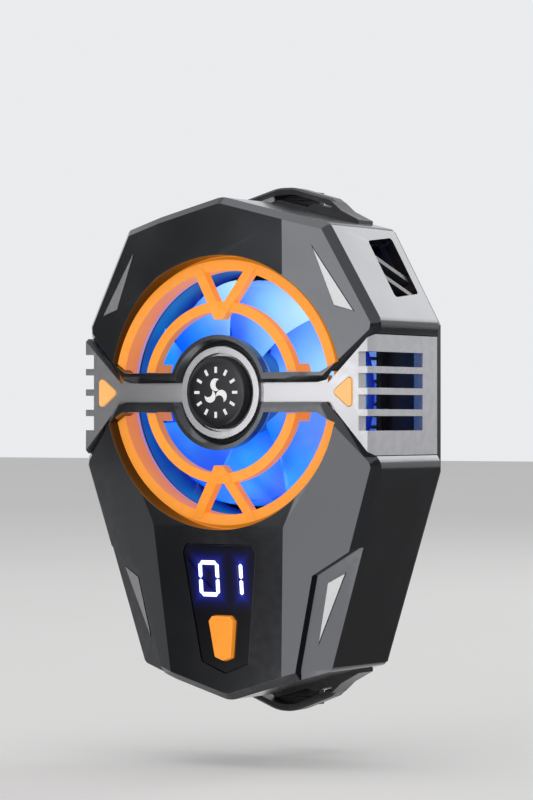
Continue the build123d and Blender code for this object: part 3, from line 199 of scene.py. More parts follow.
# %% Copy a CAD solid and round its edges
def rounded_copy(name, node, radius, segments=3, extra=None, adjust=None):
    """A copy of a CAD solid with rounded edges, which then stands for that solid."""
    shape = whole_faces(node)
    if adjust:
        adjust(shape)
    mesh = bpy.data.meshes.new(name)
    weigh_edges(shape, extra)
    for face in shape.faces:
        face.smooth = True
    shape.to_mesh(mesh)
    shape.free()
    piece = add_piece(name, mesh, body_of_node(node), slot_of_node[node], [node])
    bevel = piece.modifiers.new("small radii", "BEVEL")
    bevel.limit_method = "WEIGHT"
    bevel.width = radius * MM / EDGE_WEIGHT
    bevel.segments = segments
    bevel.use_clamp_overlap = True
    bevel.miter_outer = "MITER_SHARP"
    bevel.harden_normals = False
    normals = piece.modifiers.new("even shading", "WEIGHTED_NORMAL")
    normals.mode = "FACE_AREA"
    normals.weight = 100
    normals.keep_sharp = True
    return piece


# %% [markdown]
# ## The shell
# The upper and lower covers are moulded in a dark pearl plastic. Their facets are flat
# and only the edges are rounded, so a copy of the CAD solid with a bevel modifier is the
# honest way. The lip round the fan opening is rounded more than the rest: its light line
# is what frames the orange ring.

# %% Round the two covers
OPENING_R = 20.5
LIP_REACH = 0.12
LIP_DEPTH = 21.5
LIP_WEIGHT = 1.0


def cover_edge_weight(edge):
    """More rounding on the lip of the fan opening than elsewhere."""
    middle = (edge.verts[0].co + edge.verts[1].co) / 2
    radius = math.hypot(middle.x, middle.z) / MM
    front = -middle.y / MM > LIP_DEPTH
    near_lip = abs(radius - OPENING_R) < LIP_REACH and front
    return LIP_WEIGHT if near_lip else EDGE_WEIGHT


pieces = {}
for half in ("upper", "lower"):
    pieces[half] = rounded_copy(half + "_shell", half + "_front_cover", 0.13, extra=cover_edge_weight)
    print(half, "shell faces:", len(pieces[half].data.polygons))

# %% [markdown]
# ## The grille's outer ring
# On the real cooler a dark line parts the orange ring from the covers. The CAD ring fills
# its opening, so the front edge of the ring is drawn in and its outer wall becomes a
# slope. Only the points in front of the grille's flat base move.

# %% Draw in the ring's front edge
GRILLE_BASE = 20.95
RING_FRONT_R = 19.85
RING_REACH = 0.2


def taper_ring(shape):
    """Draw in the front of the grille's outer ring, which leaves a dark gap to the covers."""
    for vert in shape.verts:
        radius = math.hypot(vert.co.x, vert.co.z) / MM
        if radius > OPENING_R - RING_REACH and -vert.co.y / MM > GRILLE_BASE:
            vert.co.x *= RING_FRONT_R / radius
            vert.co.z *= RING_FRONT_R / radius


print("ring radius at its front:", RING_FRONT_R, "of", OPENING_R)

# %% [markdown]
# ## Parts that only need their edges rounded
# Band, grille, claws, rails, vents, lenses, trims, window, button, rear cover and inlet
# have the right shape in CAD. Each gets a radius that suits how it is made: a stamped
# triangle is crisp, a moulded grille is soft.

# %% Round the smaller parts
ROUNDED = {
    "band_dressed": ("center_band", 0.12),
    "grille_dressed": ("grille", 0.2),
    "upper_claw_dressed": ("upper_claw", 0.12),
    "lower_claw_dressed": ("lower_claw", 0.12),
    "upper_rail_dressed": ("upper_claw_guide", 0.1),
    "lower_rail_dressed": ("lower_claw_guide", 0.1),
    "vent_left_dressed": ("side_vent_left", 0.08),
    "vent_right_dressed": ("side_vent_right", 0.08),
    "lens_left_dressed": ("side_lens_left", 0.15),
    "lens_right_dressed": ("side_lens_right", 0.15),
    "upper_triangle_left": ("upper_trim_left", 0.05),
    "upper_triangle_right": ("upper_trim_right", 0.05),
    "lower_triangle_left": ("lower_trim_left", 0.05),
    "lower_triangle_right": ("lower_trim_right", 0.05),
    "window_dressed": ("display_window", 0.08),
    "button_dressed": ("power_button", 0.22),
    "back_dressed": ("rear_cover", 0.15),
    "inlet_dressed": ("power_inlet", 0.05),
    "cold_plate_dressed": ("cold_plate", 0.12),
    "housing_dressed": ("fan_housing", 0.12),
}
for name, (node, radius) in ROUNDED.items():
    adjust = taper_ring if node == "grille" else None
    pieces[name] = rounded_copy(name, node, radius, segments=2, adjust=adjust)
print("rounded parts:", len(ROUNDED))

# %% [markdown]
# ## The hub cap
# The cap is a turned disc: a smooth, slightly domed face, a rounded shoulder and a step
# where it drops into the hub ring. A profile turned round the axis gives all three.

# %% Turn the hub cap
CAP_PROFILE = [(0, 24.92), (3.5, 24.9), (4.6, 24.86), (4.95, 24.78), (5.12, 24.6), (5.15, 24.35), (5.45, 24.15),
               (5.45, 22.9), (5.4, 22.85), (0, 22.85)]
pieces["cap"] = add_piece("cap_dressed", turned_mesh("cap_dressed", CAP_PROFILE), "case", "cap_black", ["hub_cap"])
print("cap points:", len(CAP_PROFILE))

# %% [markdown]
# ## The impeller
# Seven thin blades twist from a steep root to a flatter tip and curve like a wing. Each
# blade is a grid of points: one direction runs along the chord, the other from the hub
# outwards. The points are wrapped round the axis, so the tip keeps the same gap to the
# duct everywhere. A subdivision surface makes the curve smooth.

# %% Shape one blade
BLADES = 7
ROOT_R, TIP_R = 5.9, 17.75
BLADE_SPAN = 5.2
BLADE_OVERLAP = 1.35
TIP_SWEEP = 16
CAMBER = 0.055
BLADE_THICK, EDGE_SHARE = 0.62, 0.35
BLADE_MIDDLE = 15.4


def blade_point(across, along_chord, side):
    """A point of one blade in mm: across runs from hub to tip, the chord from back to front."""
    radius = ROOT_R + (TIP_R - ROOT_R) * across
    pitch = math.atan(BLADE_OVERLAP * 2 * math.pi * radius / (BLADES * BLADE_SPAN))
    chord = BLADE_SPAN / math.cos(pitch)
    sweep = math.radians(TIP_SWEEP * across)
    run = along_chord - 0.5
    camber = CAMBER * chord * (1 - (2 * run) ** 2)
    thick = BLADE_THICK * (EDGE_SHARE + (1 - EDGE_SHARE) * math.sqrt(max(0, 1 - (2 * run) ** 2)))
    lift = camber + side * thick / 2
    turn = (math.sin(pitch) * run * chord + math.cos(pitch) * lift) / radius + sweep
    depth = BLADE_MIDDLE + math.cos(pitch) * run * chord - math.sin(pitch) * lift
    return radius * math.sin(turn), -depth, radius * math.cos(turn)


def blade_rings(chord_steps, span_steps):
    """Closed loops round the blade's section, from the root to the tip."""
    rings = []
    for j in range(span_steps + 1):
        across = j / span_steps
        upper = [blade_point(across, i / chord_steps, 1) for i in range(chord_steps + 1)]
        lower = [blade_point(across, i / chord_steps, -1) for i in range(chord_steps + 1)]
        rings.append(upper + lower[::-1])
    return rings


# %% Join seven blades and their hub
def impeller_mesh():
    shape = bmesh.new()
    rings = blade_rings(12, 10)
    for b in range(BLADES):
        turn = 2 * math.pi * b / BLADES
        made = []
        for ring in rings:
            made.append([shape.verts.new((MM * (x * math.cos(turn) + z * math.sin(turn)), MM * y,
                                          MM * (z * math.cos(turn) - x * math.sin(turn))))
                         for x, y, z in ring])
        count = len(made[0])
        for near, far in zip(made, made[1:]):
            for i in range(count):
                shape.faces.new((near[i], near[(i + 1) % count], far[(i + 1) % count], far[i]))
        shape.faces.new(made[0])
        shape.faces.new(made[-1])
    bmesh.ops.recalc_face_normals(shape, faces=shape.faces)
    for face in shape.faces:
        face.smooth = True
    mesh = bpy.data.meshes.new("impeller")
    shape.to_mesh(mesh)
    shape.free()
    return mesh


pieces["impeller"] = add_piece("impeller", impeller_mesh(), "rotor", "rotor_blue", ["fan_rotor"])
smooth = pieces["impeller"].modifiers.new("smooth blades", "SUBSURF")
smooth.levels = smooth.render_levels = 1
HUB_PROFILE = [(0, 19.0), (5.6, 19.0), (6.05, 18.9), (6.3, 18.6), (6.3, 12.55), (6.2, 12.5), (5.55, 12.5),
               (5.5, 12.6), (5.5, 18.1), (5.4, 18.2), (0, 18.2)]
print("blades:", BLADES, "faces:", len(pieces["impeller"].data.polygons))
pieces["rotor_hub"] = add_piece("impeller_hub", turned_mesh("impeller_hub", HUB_PROFILE), "rotor", "duct_black")

# %% [markdown]
# ## The claws' springs
# Round each rod a coil spring pulls its claw home. A spring is one wire on a helix, with
# closed turns at both ends. The helix is a curve with a round section, turned into a mesh.

# %% Wind the springs
ROD_X, ROD_DEPTH = 8.6, 4.6
WIRE_R, COIL_R, TURNS = 0.2, 0.85, 6.5
TURN_STEPS = 16
COIL_CLEARANCE = 0.02
CLOSED_SHARE = 0.09
CLOSED_RISE = 2.1


def spring_curve(name, low, high, sign, side):
    """One wire on a helix between two heights, with a flat closed turn at each end."""
    data = bpy.data.curves.new(name, "CURVE")
    data.dimensions = "3D"
    data.bevel_depth = WIRE_R * MM
    data.bevel_resolution = 3
    data.resolution_u = 4
    spline = data.splines.new("NURBS")
    steps = int(TURNS * TURN_STEPS)
    spline.points.add(steps)
    start, end = low + WIRE_R + COIL_CLEARANCE, high - WIRE_R - COIL_CLEARANCE
    flat = CLOSED_RISE * WIRE_R / (end - start)
    for i in range(steps + 1):
        share = i / steps
        if share < CLOSED_SHARE:
            rise = flat * share / CLOSED_SHARE
        elif share > 1 - CLOSED_SHARE:
            rise = 1 - flat * (1 - share) / CLOSED_SHARE
        else:
            rise = flat + (1 - 2 * flat) * (share - CLOSED_SHARE) / (1 - 2 * CLOSED_SHARE)
        turn = 2 * math.pi * TURNS * share
        spline.points[i].co = ((side * ROD_X + COIL_R * math.cos(turn)) * MM,
                               (-ROD_DEPTH + COIL_R * math.sin(turn)) * MM,
                               sign * (start + (end - start) * rise) * MM, 1)
    spline.order_u = 4
    spline.use_endpoint_u = True
    return data


for half, sign in (("upper", 1), ("lower", -1)):
    low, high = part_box(half + "_claw_springs")
    reach = (min(abs(low.z), abs(high.z)) / MM, max(abs(low.z), abs(high.z)) / MM)
    coils = []
    for side in (1, -1):
        data = spring_curve("coil", reach[0], reach[1], sign, side)
        coil = bpy.data.objects.new("coil", data)
        bpy.context.scene.collection.objects.link(coil)
        coils.append(coil)
    bpy.context.view_layer.update()
    graph = bpy.context.evaluated_depsgraph_get()
    shape = bmesh.new()
    for coil in coils:
        turned = bpy.data.meshes.new_from_object(coil.evaluated_get(graph))
        shape.from_mesh(turned)
        bpy.data.objects.remove(coil)
    for face in shape.faces:
        face.smooth = True
    mesh = bpy.data.meshes.new(half + "_springs")
    shape.to_mesh(mesh)
    shape.free()
    springs = add_piece(half + "_springs_wound", mesh, "case", "spring_steel", [half + "_claw_springs"])
    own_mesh(springs)
    pieces[half + "_springs"] = springs
    print(half, "spring from", [round(r, 2) for r in reach])

# %% [markdown]
# ## Soft parts
# The thermal pad, the foam frame and the claws' pads are soft: their edges are full and
# rounded. The pads' faces swell a little between the edges: a box with rounded corners is
# cut finely, and each point moves out by how far it lies from the edge. The foam frame is
# a copy of its CAD solid with rounded edges.


# %% Make a soft pad
PAD_CUTS = 23
CROWN_REACH = 0.35


def soft_pad(name, node, edge, crown, body, slot):
    """A rounded pad in the box of its CAD solid; its wide faces are crowned a little."""
    low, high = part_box(node)
    centre = (low + high) / 2
    half = (high - low) / 2
    thin = min(range(3), key=lambda axis: half[axis])
    shape = bmesh.new()
    bmesh.ops.create_cube(shape, size=2)
    bmesh.ops.subdivide_edges(shape, edges=shape.edges, cuts=PAD_CUTS, use_grid_fill=True)
    edge_size = edge * MM
    for vert in shape.verts:
        unit = vert.co.copy()
        point = Vector([unit[a] * half[a] for a in range(3)])
        wide = [a for a in range(3) if a != thin]
        limit = [half[a] - min(edge_size, half[a]) for a in range(3)]
        inner = Vector([max(-limit[a], min(limit[a], point[a])) for a in range(3)])
        out = point - inner
        if out.length > 0:
            reach = min(edge_size, min(half))
            out = out.normalized() * min(out.length, reach)
        near = min(1 - abs(unit[a]) for a in wide)
        swell = 1 - crown * (1 - min(1, near / CROWN_REACH)) ** 2
        vert.co = inner + out
        vert.co[thin] *= swell
        vert.co += centre
    for face in shape.faces:
        face.smooth = True
    mesh = bpy.data.meshes.new(name)
    shape.to_mesh(mesh)
    shape.free()
    pad = add_piece(name, mesh, body, slot, [node])
    return pad


pieces["thermal_pad"] = soft_pad("thermal_pad_soft", "thermal_pad", 0.25, 0.12, "case", "silicone_grey")
for half, body in (("upper", "top_clamp"), ("lower", "bottom_clamp")):
    node = half + "_claw_pad"
    pieces[half + "_pad"] = soft_pad(node + "_soft", node, 0.28, 0.1, body, "silicone_black")
foam = rounded_copy("foam_frame_soft", "foam_frame", 0.3, segments=3)
pieces["foam"] = foam
print("soft parts: 4")

# %% [markdown]
# ## The digits
# The display shows a nought and a one. Each lit bar has slanted ends, so that the bars
# of a digit meet with even gaps. They are flat six-cornered bars, set just proud of the
# window and following its slope.

# %% Draw the lit bars
DIGIT_MIDDLE_Z = -27.8
DIGIT_X = 2.1
HALF_W, HALF_H, BAR = 1.8, 2.7, 0.62
BAR_GAP = 0.12
BAR_TIP_SHARE = 0.8
BAR_DEPTHS = (-0.4, 0.02)
WINDOW_SLOPE = 0.10
WINDOW_FRONT, WINDOW_TOP_Z = 24.3, -20.0


def window_depth(z):
    """Depth of the window's face at a height in mm."""
    return WINDOW_FRONT + WINDOW_SLOPE * (z - WINDOW_TOP_Z)


def bar_outline(x, z, long, upright):
    """Six corners of a bar with pointed ends."""
    half_bar = BAR / 2
    ends = long / 2
    flat = ends - half_bar * BAR_TIP_SHARE
    corners = [(-ends, 0), (-flat, half_bar), (flat, half_bar), (ends, 0), (flat, -half_bar), (-flat, -half_bar)]
    if upright:
        return [(x + b, z + a) for a, b in corners]
    return [(x + a, z + b) for a, b in corners]


def digit_bars():
    bars = []
    side = HALF_W - BAR / 2
    top = HALF_H - BAR / 2
    for s in (1, -1):
        for x in (-DIGIT_X - side, -DIGIT_X + side, DIGIT_X + side):
            bars.append(bar_outline(x, DIGIT_MIDDLE_Z + s * top / 2, top - BAR_GAP, True))
        bars.append(bar_outline(-DIGIT_X, DIGIT_MIDDLE_Z + s * top, 2 * side - BAR_GAP, False))
    return bars


shape = bmesh.new()
for bar in digit_bars():
    rings = [[shape.verts.new((x * MM, -(window_depth(z) + lift) * MM, z * MM)) for x, z in bar]
             for lift in BAR_DEPTHS]
    count = len(bar)
    for i in range(count):
        shape.faces.new((rings[0][i], rings[0][(i + 1) % count], rings[1][(i + 1) % count], rings[1][i]))
    shape.faces.new(rings[0])
    shape.faces.new(rings[1])
bmesh.ops.recalc_face_normals(shape, faces=shape.faces)
mesh = bpy.data.meshes.new("lit_bars")
shape.to_mesh(mesh)
shape.free()
pieces["digits"] = add_piece("lit_bars", mesh, "case", "digit_white", ["display_digits"])
print("lit bars:", len(digit_bars()))

# %% [markdown]
# ## Effects that several materials share
# Grain, edge wear, brushing and dust are the same idea on many finishes, so each is a
# node group with named inputs. A material places a group and gives it its own values.
# The groups read the object's own coordinates, so a pattern stays on a part that moves.


# %% Tools for nodes
def add_node(tree, kind, settings=None, values=None):
    """A shader node with its settings, its unlinked values and its links."""
    made = tree.nodes.new("ShaderNode" + kind)
    for key, value in (settings or {}).items():
        setattr(made, key, value)
    for key, value in (values or {}).items():
        if isinstance(value, bpy.types.NodeSocket):
            tree.links.new(value, made.inputs[key])
        else:
            made.inputs[key].default_value = value
    return made


def calculate(tree, operation, *values):
    made = add_node(tree, "Math", {"operation": operation}, dict(enumerate(values)))
    return made.outputs[0]


def spread(tree, value, low, high, to_low=0.0, to_high=1.0):
    """A value between two limits, stretched to a new range with soft ends."""
    made = add_node(tree, "MapRange", {"interpolation_type": "SMOOTHSTEP"},
                    {0: value, 1: low, 2: high, 3: to_low, 4: to_high})
    return made.outputs[0]


def blend_colours(tree, share, first, second):
    made = add_node(tree, "Mix", {"data_type": "RGBA"})
    for key, value in ((0, share), (6, first), (7, second)):
        if isinstance(value, bpy.types.NodeSocket):
            tree.links.new(value, made.inputs[key])
        else:
            made.inputs[key].default_value = value
    return made.outputs[2]


def new_group(name, inputs, outputs):
    """An empty node group with named sockets."""
    group = bpy.data.node_groups.new(name, "ShaderNodeTree")
    for label, kind, value in inputs:
        socket = group.interface.new_socket(label, in_out="INPUT", socket_type="NodeSocket" + kind)
        socket.default_value = value
    for label, kind in outputs:
        group.interface.new_socket(label, in_out="OUTPUT", socket_type="NodeSocket" + kind)
    return group, group.nodes.new("NodeGroupInput").outputs, group.nodes.new("NodeGroupOutput").inputs


def noise(tree, scale, detail=3.0, vector=None, roughness=0.5):
    made = add_node(tree, "TexNoise", None, {"Scale": scale, "Detail": detail, "Roughness": roughness})
    if vector is None:
        vector = add_node(tree, "TexCoord").outputs["Object"]
    tree.links.new(vector, made.inputs["Vector"])
    return made.outputs["Fac"]


# %% Build the moulded grain
def moulded_grain_group():
    """Fine moulding texture, slow changes of tone and a few polished patches."""
    group, given, result = new_group(
        "Moulded Grain",
        [("Colour", "Color", (0.1, 0.1, 0.1, 1)), ("Tone Spread", "Float", 0.1), ("Grain Scale", "Float", 5000),
         ("Roughness", "Float", 0.4), ("Roughness Spread", "Float", 0.08)],
        [("Colour", "Color"), ("Roughness", "Float"), ("Height", "Float")])
    fine = noise(group, given["Grain Scale"], 4)
    slow = noise(group, 90, 3)
    speck = noise(group, 1400, 2)
    tone = calculate(group, "ADD", slow, calculate(group, "MULTIPLY", speck, 0.35))
    tone = spread(group, tone, 0.45, 0.9, -0.5, 0.5)
    gain = calculate(group, "ADD", calculate(group, "MULTIPLY", tone, given["Tone Spread"]), 1.0)
    made = add_node(group, "VectorMath", {"operation": "SCALE"}, {0: given["Colour"], "Scale": gain})
    group.links.new(made.outputs[0], result["Colour"])
    wander = calculate(group, "MULTIPLY", calculate(group, "SUBTRACT", slow, 0.5), given["Roughness Spread"])
    wander = calculate(group, "MULTIPLY", wander, 2.5)
    group.links.new(calculate(group, "ADD", given["Roughness"], wander), result["Roughness"])
    group.links.new(fine, result["Height"])
    return group


# %% Build the edge wear
def edge_wear_group():
    """A lighter line on convex edges, broken by noise."""
    group, given, result = new_group(
        "Edge Wear",
        [("Colour", "Color", (0.1, 0.1, 0.1, 1)), ("Worn Colour", "Color", (0.4, 0.4, 0.4, 1)),
         ("Amount", "Float", 0.4)],
        [("Colour", "Color")])
    sharp = add_node(group, "NewGeometry").outputs["Pointiness"]
    edge = spread(group, sharp, 0.515, 0.6)
    broken = spread(group, noise(group, 700, 4), 0.35, 0.65, 0.35, 1.0)
    mask = calculate(group, "MULTIPLY", calculate(group, "MULTIPLY", edge, broken), given["Amount"])
    group.links.new(blend_colours(group, mask, given["Colour"], given["Worn Colour"]), result["Colour"])
    return group


# %% Build the brushing
def brushing_group():
    """Fine lines along one direction, as a belt or a brush leaves on metal."""
    group, given, result = new_group(
        "Brushing",
        [("Colour", "Color", (0.6, 0.6, 0.6, 1)), ("Stretch", "Vector", (300, 9000, 9000)),
         ("Roughness", "Float", 0.3), ("Strength", "Float", 0.2)],
        [("Colour", "Color"), ("Roughness", "Float"), ("Height", "Float")])
    place = add_node(group, "TexCoord").outputs["Object"]
    scaled = add_node(group, "VectorMath", {"operation": "MULTIPLY"}, {0: place, 1: given["Stretch"]}).outputs[0]
    lines = noise(group, 1.0, 3, scaled, 0.6)
    slow = noise(group, 120, 3)
    centred = calculate(group, "SUBTRACT", calculate(group, "ADD", lines, calculate(group, "MULTIPLY", slow, 0.4)),
                        0.7)
    change = calculate(group, "MULTIPLY", centred, given["Strength"])
    made = add_node(group, "VectorMath", {"operation": "SCALE"},
                    {0: given["Colour"], "Scale": calculate(group, "ADD", change, 1.0)})
    group.links.new(made.outputs[0], result["Colour"])
    group.links.new(calculate(group, "ADD", given["Roughness"], calculate(group, "MULTIPLY", change, 0.5)),
                    result["Roughness"])
    group.links.new(lines, result["Height"])
    return group


# %% Build the dust
def settled_dust_group():
    """A thin film of dust on faces that look up, with fingers' smudges in the gloss."""
    group, given, result = new_group(
        "Settled Dust",
        [("Colour", "Color", (0.1, 0.1, 0.1, 1)), ("Roughness", "Float", 0.3), ("Amount", "Float", 0.1)],
        [("Colour", "Color"), ("Roughness", "Float")])
    facing = add_node(group, "NewGeometry").outputs["Normal"]
    upward = add_node(group, "SeparateXYZ", None, {0: facing}).outputs[2]
    patchy = spread(group, noise(group, 260, 5), 0.3, 0.8)
    film = calculate(group, "MULTIPLY", spread(group, upward, 0.2, 1.0), patchy)
    smudge = spread(group, noise(group, 45, 2), 0.5, 0.75)
    share = calculate(group, "MULTIPLY", film, given["Amount"])
    group.links.new(blend_colours(group, share, given["Colour"], (0.5, 0.49, 0.47, 1)), result["Colour"])
    rough = calculate(group, "ADD", share, calculate(group, "MULTIPLY", smudge, 0.04))
    group.links.new(calculate(group, "ADD", given["Roughness"], rough), result["Roughness"])
    return group


MOULDED = moulded_grain_group()
WEAR = edge_wear_group()
BRUSHING = brushing_group()
DUST = settled_dust_group()
print("groups:", [g.name for g in (MOULDED, WEAR, BRUSHING, DUST)])

# %% [markdown]
# ## Finishes
# Every finish uses one Principled shader. A plastic runs through grain, wear and dust; a
# metal runs through brushing, wear and dust. Values that are the same all over a surface
# stay on the shader itself.


# %% Mix a plastic
def shaded(name, settings):
    material = bpy.data.materials.new(name)
    material.use_nodes = True
    tree = material.node_tree
    shader = tree.nodes["Principled BSDF"]
    for key, value in settings.items():
        shader.inputs[key].default_value = value
    return material, tree, shader


def use_group(tree, group, values):
    return add_node(tree, "Group", {"node_tree": group}, values).outputs


def rgb(*values):
    return (*values, 1.0)


def add_bump(tree, shader, height, size):
    """Relief of a given size in micrometres."""
    bump = add_node(tree, "Bump", None, {"Strength": 0.6, "Distance": size * 1e-6, "Height": height})
    tree.links.new(bump.outputs[0], shader.inputs["Normal"])


def plastic(name, colour, rough, grain=5000, relief=4, wear=0.25, worn=None, dust=0.06, tone=0.12,
            **shader_values):
    """A moulded plastic: colour, roughness, grain per metre and relief in micrometres."""
    material, tree, shader = shaded(name, shader_values)
    worn = worn or tuple(min(1, c * 1.8 + 0.05) for c in colour)
    moulded = use_group(tree, MOULDED, {"Colour": rgb(*colour), "Tone Spread": tone, "Grain Scale": grain,
                                        "Roughness": rough})
    edges = use_group(tree, WEAR, {"Colour": moulded["Colour"], "Worn Colour": rgb(*worn), "Amount": wear})
    dusty = use_group(tree, DUST, {"Colour": edges["Colour"], "Roughness": moulded["Roughness"], "Amount": dust})
    tree.links.new(dusty["Colour"], shader.inputs["Base Color"])
    tree.links.new(dusty["Roughness"], shader.inputs["Roughness"])
    add_bump(tree, shader, moulded["Height"], relief)
    return material


# %% Mix a metal
def metal(name, colour, rough, stretch=(300, 9000, 9000), brush=0.25, relief=2, wear=0.3, dust=0.04,
          **shader_values):
    """A metal or a metallic paint, brushed along one direction."""
    material, tree, shader = shaded(name, {"Metallic": 1.0, **shader_values})
    brushed = use_group(tree, BRUSHING, {"Colour": rgb(*colour), "Stretch": stretch, "Roughness": rough,
                                         "Strength": brush})
    edges = use_group(tree, WEAR, {"Colour": brushed["Colour"], "Amount": wear,
                                   "Worn Colour": rgb(*[min(1, c * 1.3 + 0.1) for c in colour])})
    dusty = use_group(tree, DUST, {"Colour": edges["Colour"], "Roughness": brushed["Roughness"], "Amount": dust})
    tree.links.new(dusty["Colour"], shader.inputs["Base Color"])
    tree.links.new(dusty["Roughness"], shader.inputs["Roughness"])
    add_bump(tree, shader, brushed["Height"], relief)
    return material


# %% [markdown]
# ## Painted light from inside
# The fan glows: on the real cooler a ring of lamps behind the grille lights clear blue
# blades, which pass and scatter that light, so they are palest where they face a lamp and
# darkest blue in the folds between them. Here that light and shade are painted: a group
# works out a painted highlight from the angle and the radius round the fan's axis, with
# painted shade in the folds and towards the back, and feeds the emission colour.


# %% Build the fan's painted glow
def painted_fan_glow_group():
    group, given, result = new_group(
        "Painted Fan Glow",
        [("Painted Highlight Angle", "Float", 0.9), ("Painted Highlight Share", "Float", 0.85)],
        [("Emission", "Color"), ("Colour", "Color")])
    place = add_node(group, "TexCoord").outputs["Object"]
    split = add_node(group, "SeparateXYZ", None, {0: place}).outputs
    angle = calculate(group, "ARCTAN2", split[0], split[2])
    squares = [calculate(group, "MULTIPLY", split[axis], split[axis]) for axis in (0, 2)]
    radius = calculate(group, "POWER", calculate(group, "ADD", *squares), 0.5)
    outward = spread(group, radius, 0.006, 0.0175)
    swirl = calculate(group, "ADD", angle, calculate(group, "MULTIPLY", radius, 14.0))
    # Painted highlight: the glow is palest where the swirl faces the highlight angle.
    pale = calculate(group, "COSINE", calculate(group, "SUBTRACT", swirl, given["Painted Highlight Angle"]))
    pale = calculate(group, "MULTIPLY", spread(group, pale, -0.2, 0.9), given["Painted Highlight Share"])
    soft = noise(group, 110, 2)
    cloud = spread(group, soft, 0.3, 0.75)
    # Painted shade: the glow darkens towards the back of the blades.
    depth = spread(group, split[1], -0.0115, -0.0172)
    share = calculate(group, "ADD", 0.35, calculate(group, "MULTIPLY", cloud, 0.6))
    share = calculate(group, "MULTIPLY", depth, share)
    blue_with_painted_shade = blend_colours(group, share, (0.0, 0.02, 0.6, 1), (0.0, 0.32, 1.0, 1))
    # Painted light: the highlight grows towards the blade tips.
    rising = calculate(group, "ADD", 0.35, calculate(group, "MULTIPLY", outward, 0.75))
    light = calculate(group, "MULTIPLY", calculate(group, "MULTIPLY", pale, rising), depth)
    group.links.new(blend_colours(group, light, blue_with_painted_shade, (0.50, 0.86, 1.0, 1)), result["Emission"])
    group.links.new(blend_colours(group, cloud, (0.01, 0.06, 0.45, 1), (0.03, 0.20, 0.85, 1)), result["Colour"])
    return group


PAINTED_FAN_GLOW = painted_fan_glow_group()


def duct_with_painted_glow(name):
    """Black plastic with a painted glow of the fan's blue light, given as emission."""
    material = plastic(name, (0.03, 0.035, 0.06), 0.38, 4200, 5, **{"Emission Strength": 0.4})
    tree = material.node_tree
    glow = use_group(tree, PAINTED_FAN_GLOW, {"Painted Highlight Share": 0.1})
    tree.links.new(glow["Emission"], tree.nodes["Principled BSDF"].inputs["Emission Color"])
    return material


def blade_with_painted_glow(name):
    # The blades' glow, with its painted highlight and painted shade, is emission from the group.
    material, tree, shader = shaded(name, {"Roughness": 0.22, "Emission Strength": 1.0})
    glow = use_group(tree, PAINTED_FAN_GLOW, {})
    tree.links.new(glow["Emission"], shader.inputs["Emission Color"])
    moulded = use_group(tree, MOULDED, {"Colour": glow["Colour"], "Roughness": 0.24, "Tone Spread": 0.1,
                                        "Grain Scale": 2500})
    tree.links.new(moulded["Colour"], shader.inputs["Base Color"])
    tree.links.new(moulded["Roughness"], shader.inputs["Roughness"])
    add_bump(tree, shader, moulded["Height"], 2)
    return material


# %% [markdown]
# ## The display's painted glow
# Lit digits behind a dark window throw a blue halo. Here the halo is painted on the
# window as emission: the group measures how far a point of the window lies from the
# nought's outline and from the one's line, and lets the painted glow die away with that
# distance.


# %% Build the painted halo
def painted_digit_halo_group():
    group, given, result = new_group(
        "Painted Digit Halo",
        [("Middle", "Vector", (-DIGIT_X * MM, 0, DIGIT_MIDDLE_Z * MM)),
         ("Half Width", "Float", (HALF_W - BAR / 2) * MM), ("Half Height", "Float", (HALF_H - BAR / 2) * MM),
         ("One", "Float", (DIGIT_X + HALF_W - BAR / 2) * MM), ("Reach", "Float", 0.55 * MM)],
        [("Glow", "Color")])
    place = add_node(group, "TexCoord").outputs["Object"]
    off = add_node(group, "VectorMath", {"operation": "SUBTRACT"}, {0: place, 1: given["Middle"]}).outputs[0]
    split = add_node(group, "SeparateXYZ", None, {0: off}).outputs
    x = calculate(group, "ABSOLUTE", split[0])
    z = calculate(group, "ABSOLUTE", split[2])
    beyond_x = calculate(group, "SUBTRACT", x, given["Half Width"])
    beyond_z = calculate(group, "SUBTRACT", z, given["Half Height"])
    nought = calculate(group, "ABSOLUTE", calculate(group, "MAXIMUM", beyond_x, beyond_z))
    place_x = add_node(group, "SeparateXYZ", None, {0: place}).outputs[0]
    one_x = calculate(group, "ABSOLUTE", calculate(group, "SUBTRACT", place_x, given["One"]))
    one = calculate(group, "MAXIMUM", one_x, calculate(group, "MAXIMUM", beyond_z, 0.0))
    nearest = calculate(group, "MINIMUM", nought, one)
    fall = calculate(group, "DIVIDE", nearest, given["Reach"])
    glow = calculate(group, "EXPONENT", calculate(group, "MULTIPLY", fall, -1.0))
    glow = calculate(group, "MULTIPLY", glow, 0.9)
    group.links.new(blend_colours(group, glow, (0, 0, 0, 1), (0.02, 0.03, 0.55, 1)), result["Glow"])
    return group


PAINTED_DIGIT_HALO = painted_digit_halo_group()


def window_with_painted_halo(name):
    material = plastic(name, (0.006, 0.006, 0.008), 0.05, grain=900, relief=0.3, wear=0.1, dust=0.01, tone=0.05,
                       **{"Coat Weight": 0.5, "Coat Roughness": 0.03, "Emission Strength": 1.0})
    tree = material.node_tree
    # The halo is painted light: it is fed to the window's emission.
    halo = use_group(tree, PAINTED_DIGIT_HALO, {})
    tree.links.new(halo["Glow"], tree.nodes["Principled BSDF"].inputs["Emission Color"])
    return material


# %% Mix every finish of the record
def glowing(name, colour, strength, rough=0.3, light=None):
    """A lit plastic whose light changes a little over its surface."""
    material = plastic(name, colour, rough, grain=1800, relief=1, wear=0.05, dust=0.01, tone=0.15,
                       **{"Emission Strength": strength})
    tree = material.node_tree
    light = light or colour
    cloud = spread(tree, noise(tree, 350, 2), 0.3, 0.7)
    mixed = blend_colours(tree, cloud, rgb(*light), rgb(*[c * 0.86 for c in light]))
    tree.links.new(mixed, tree.nodes["Principled BSDF"].inputs["Emission Color"])
    return material


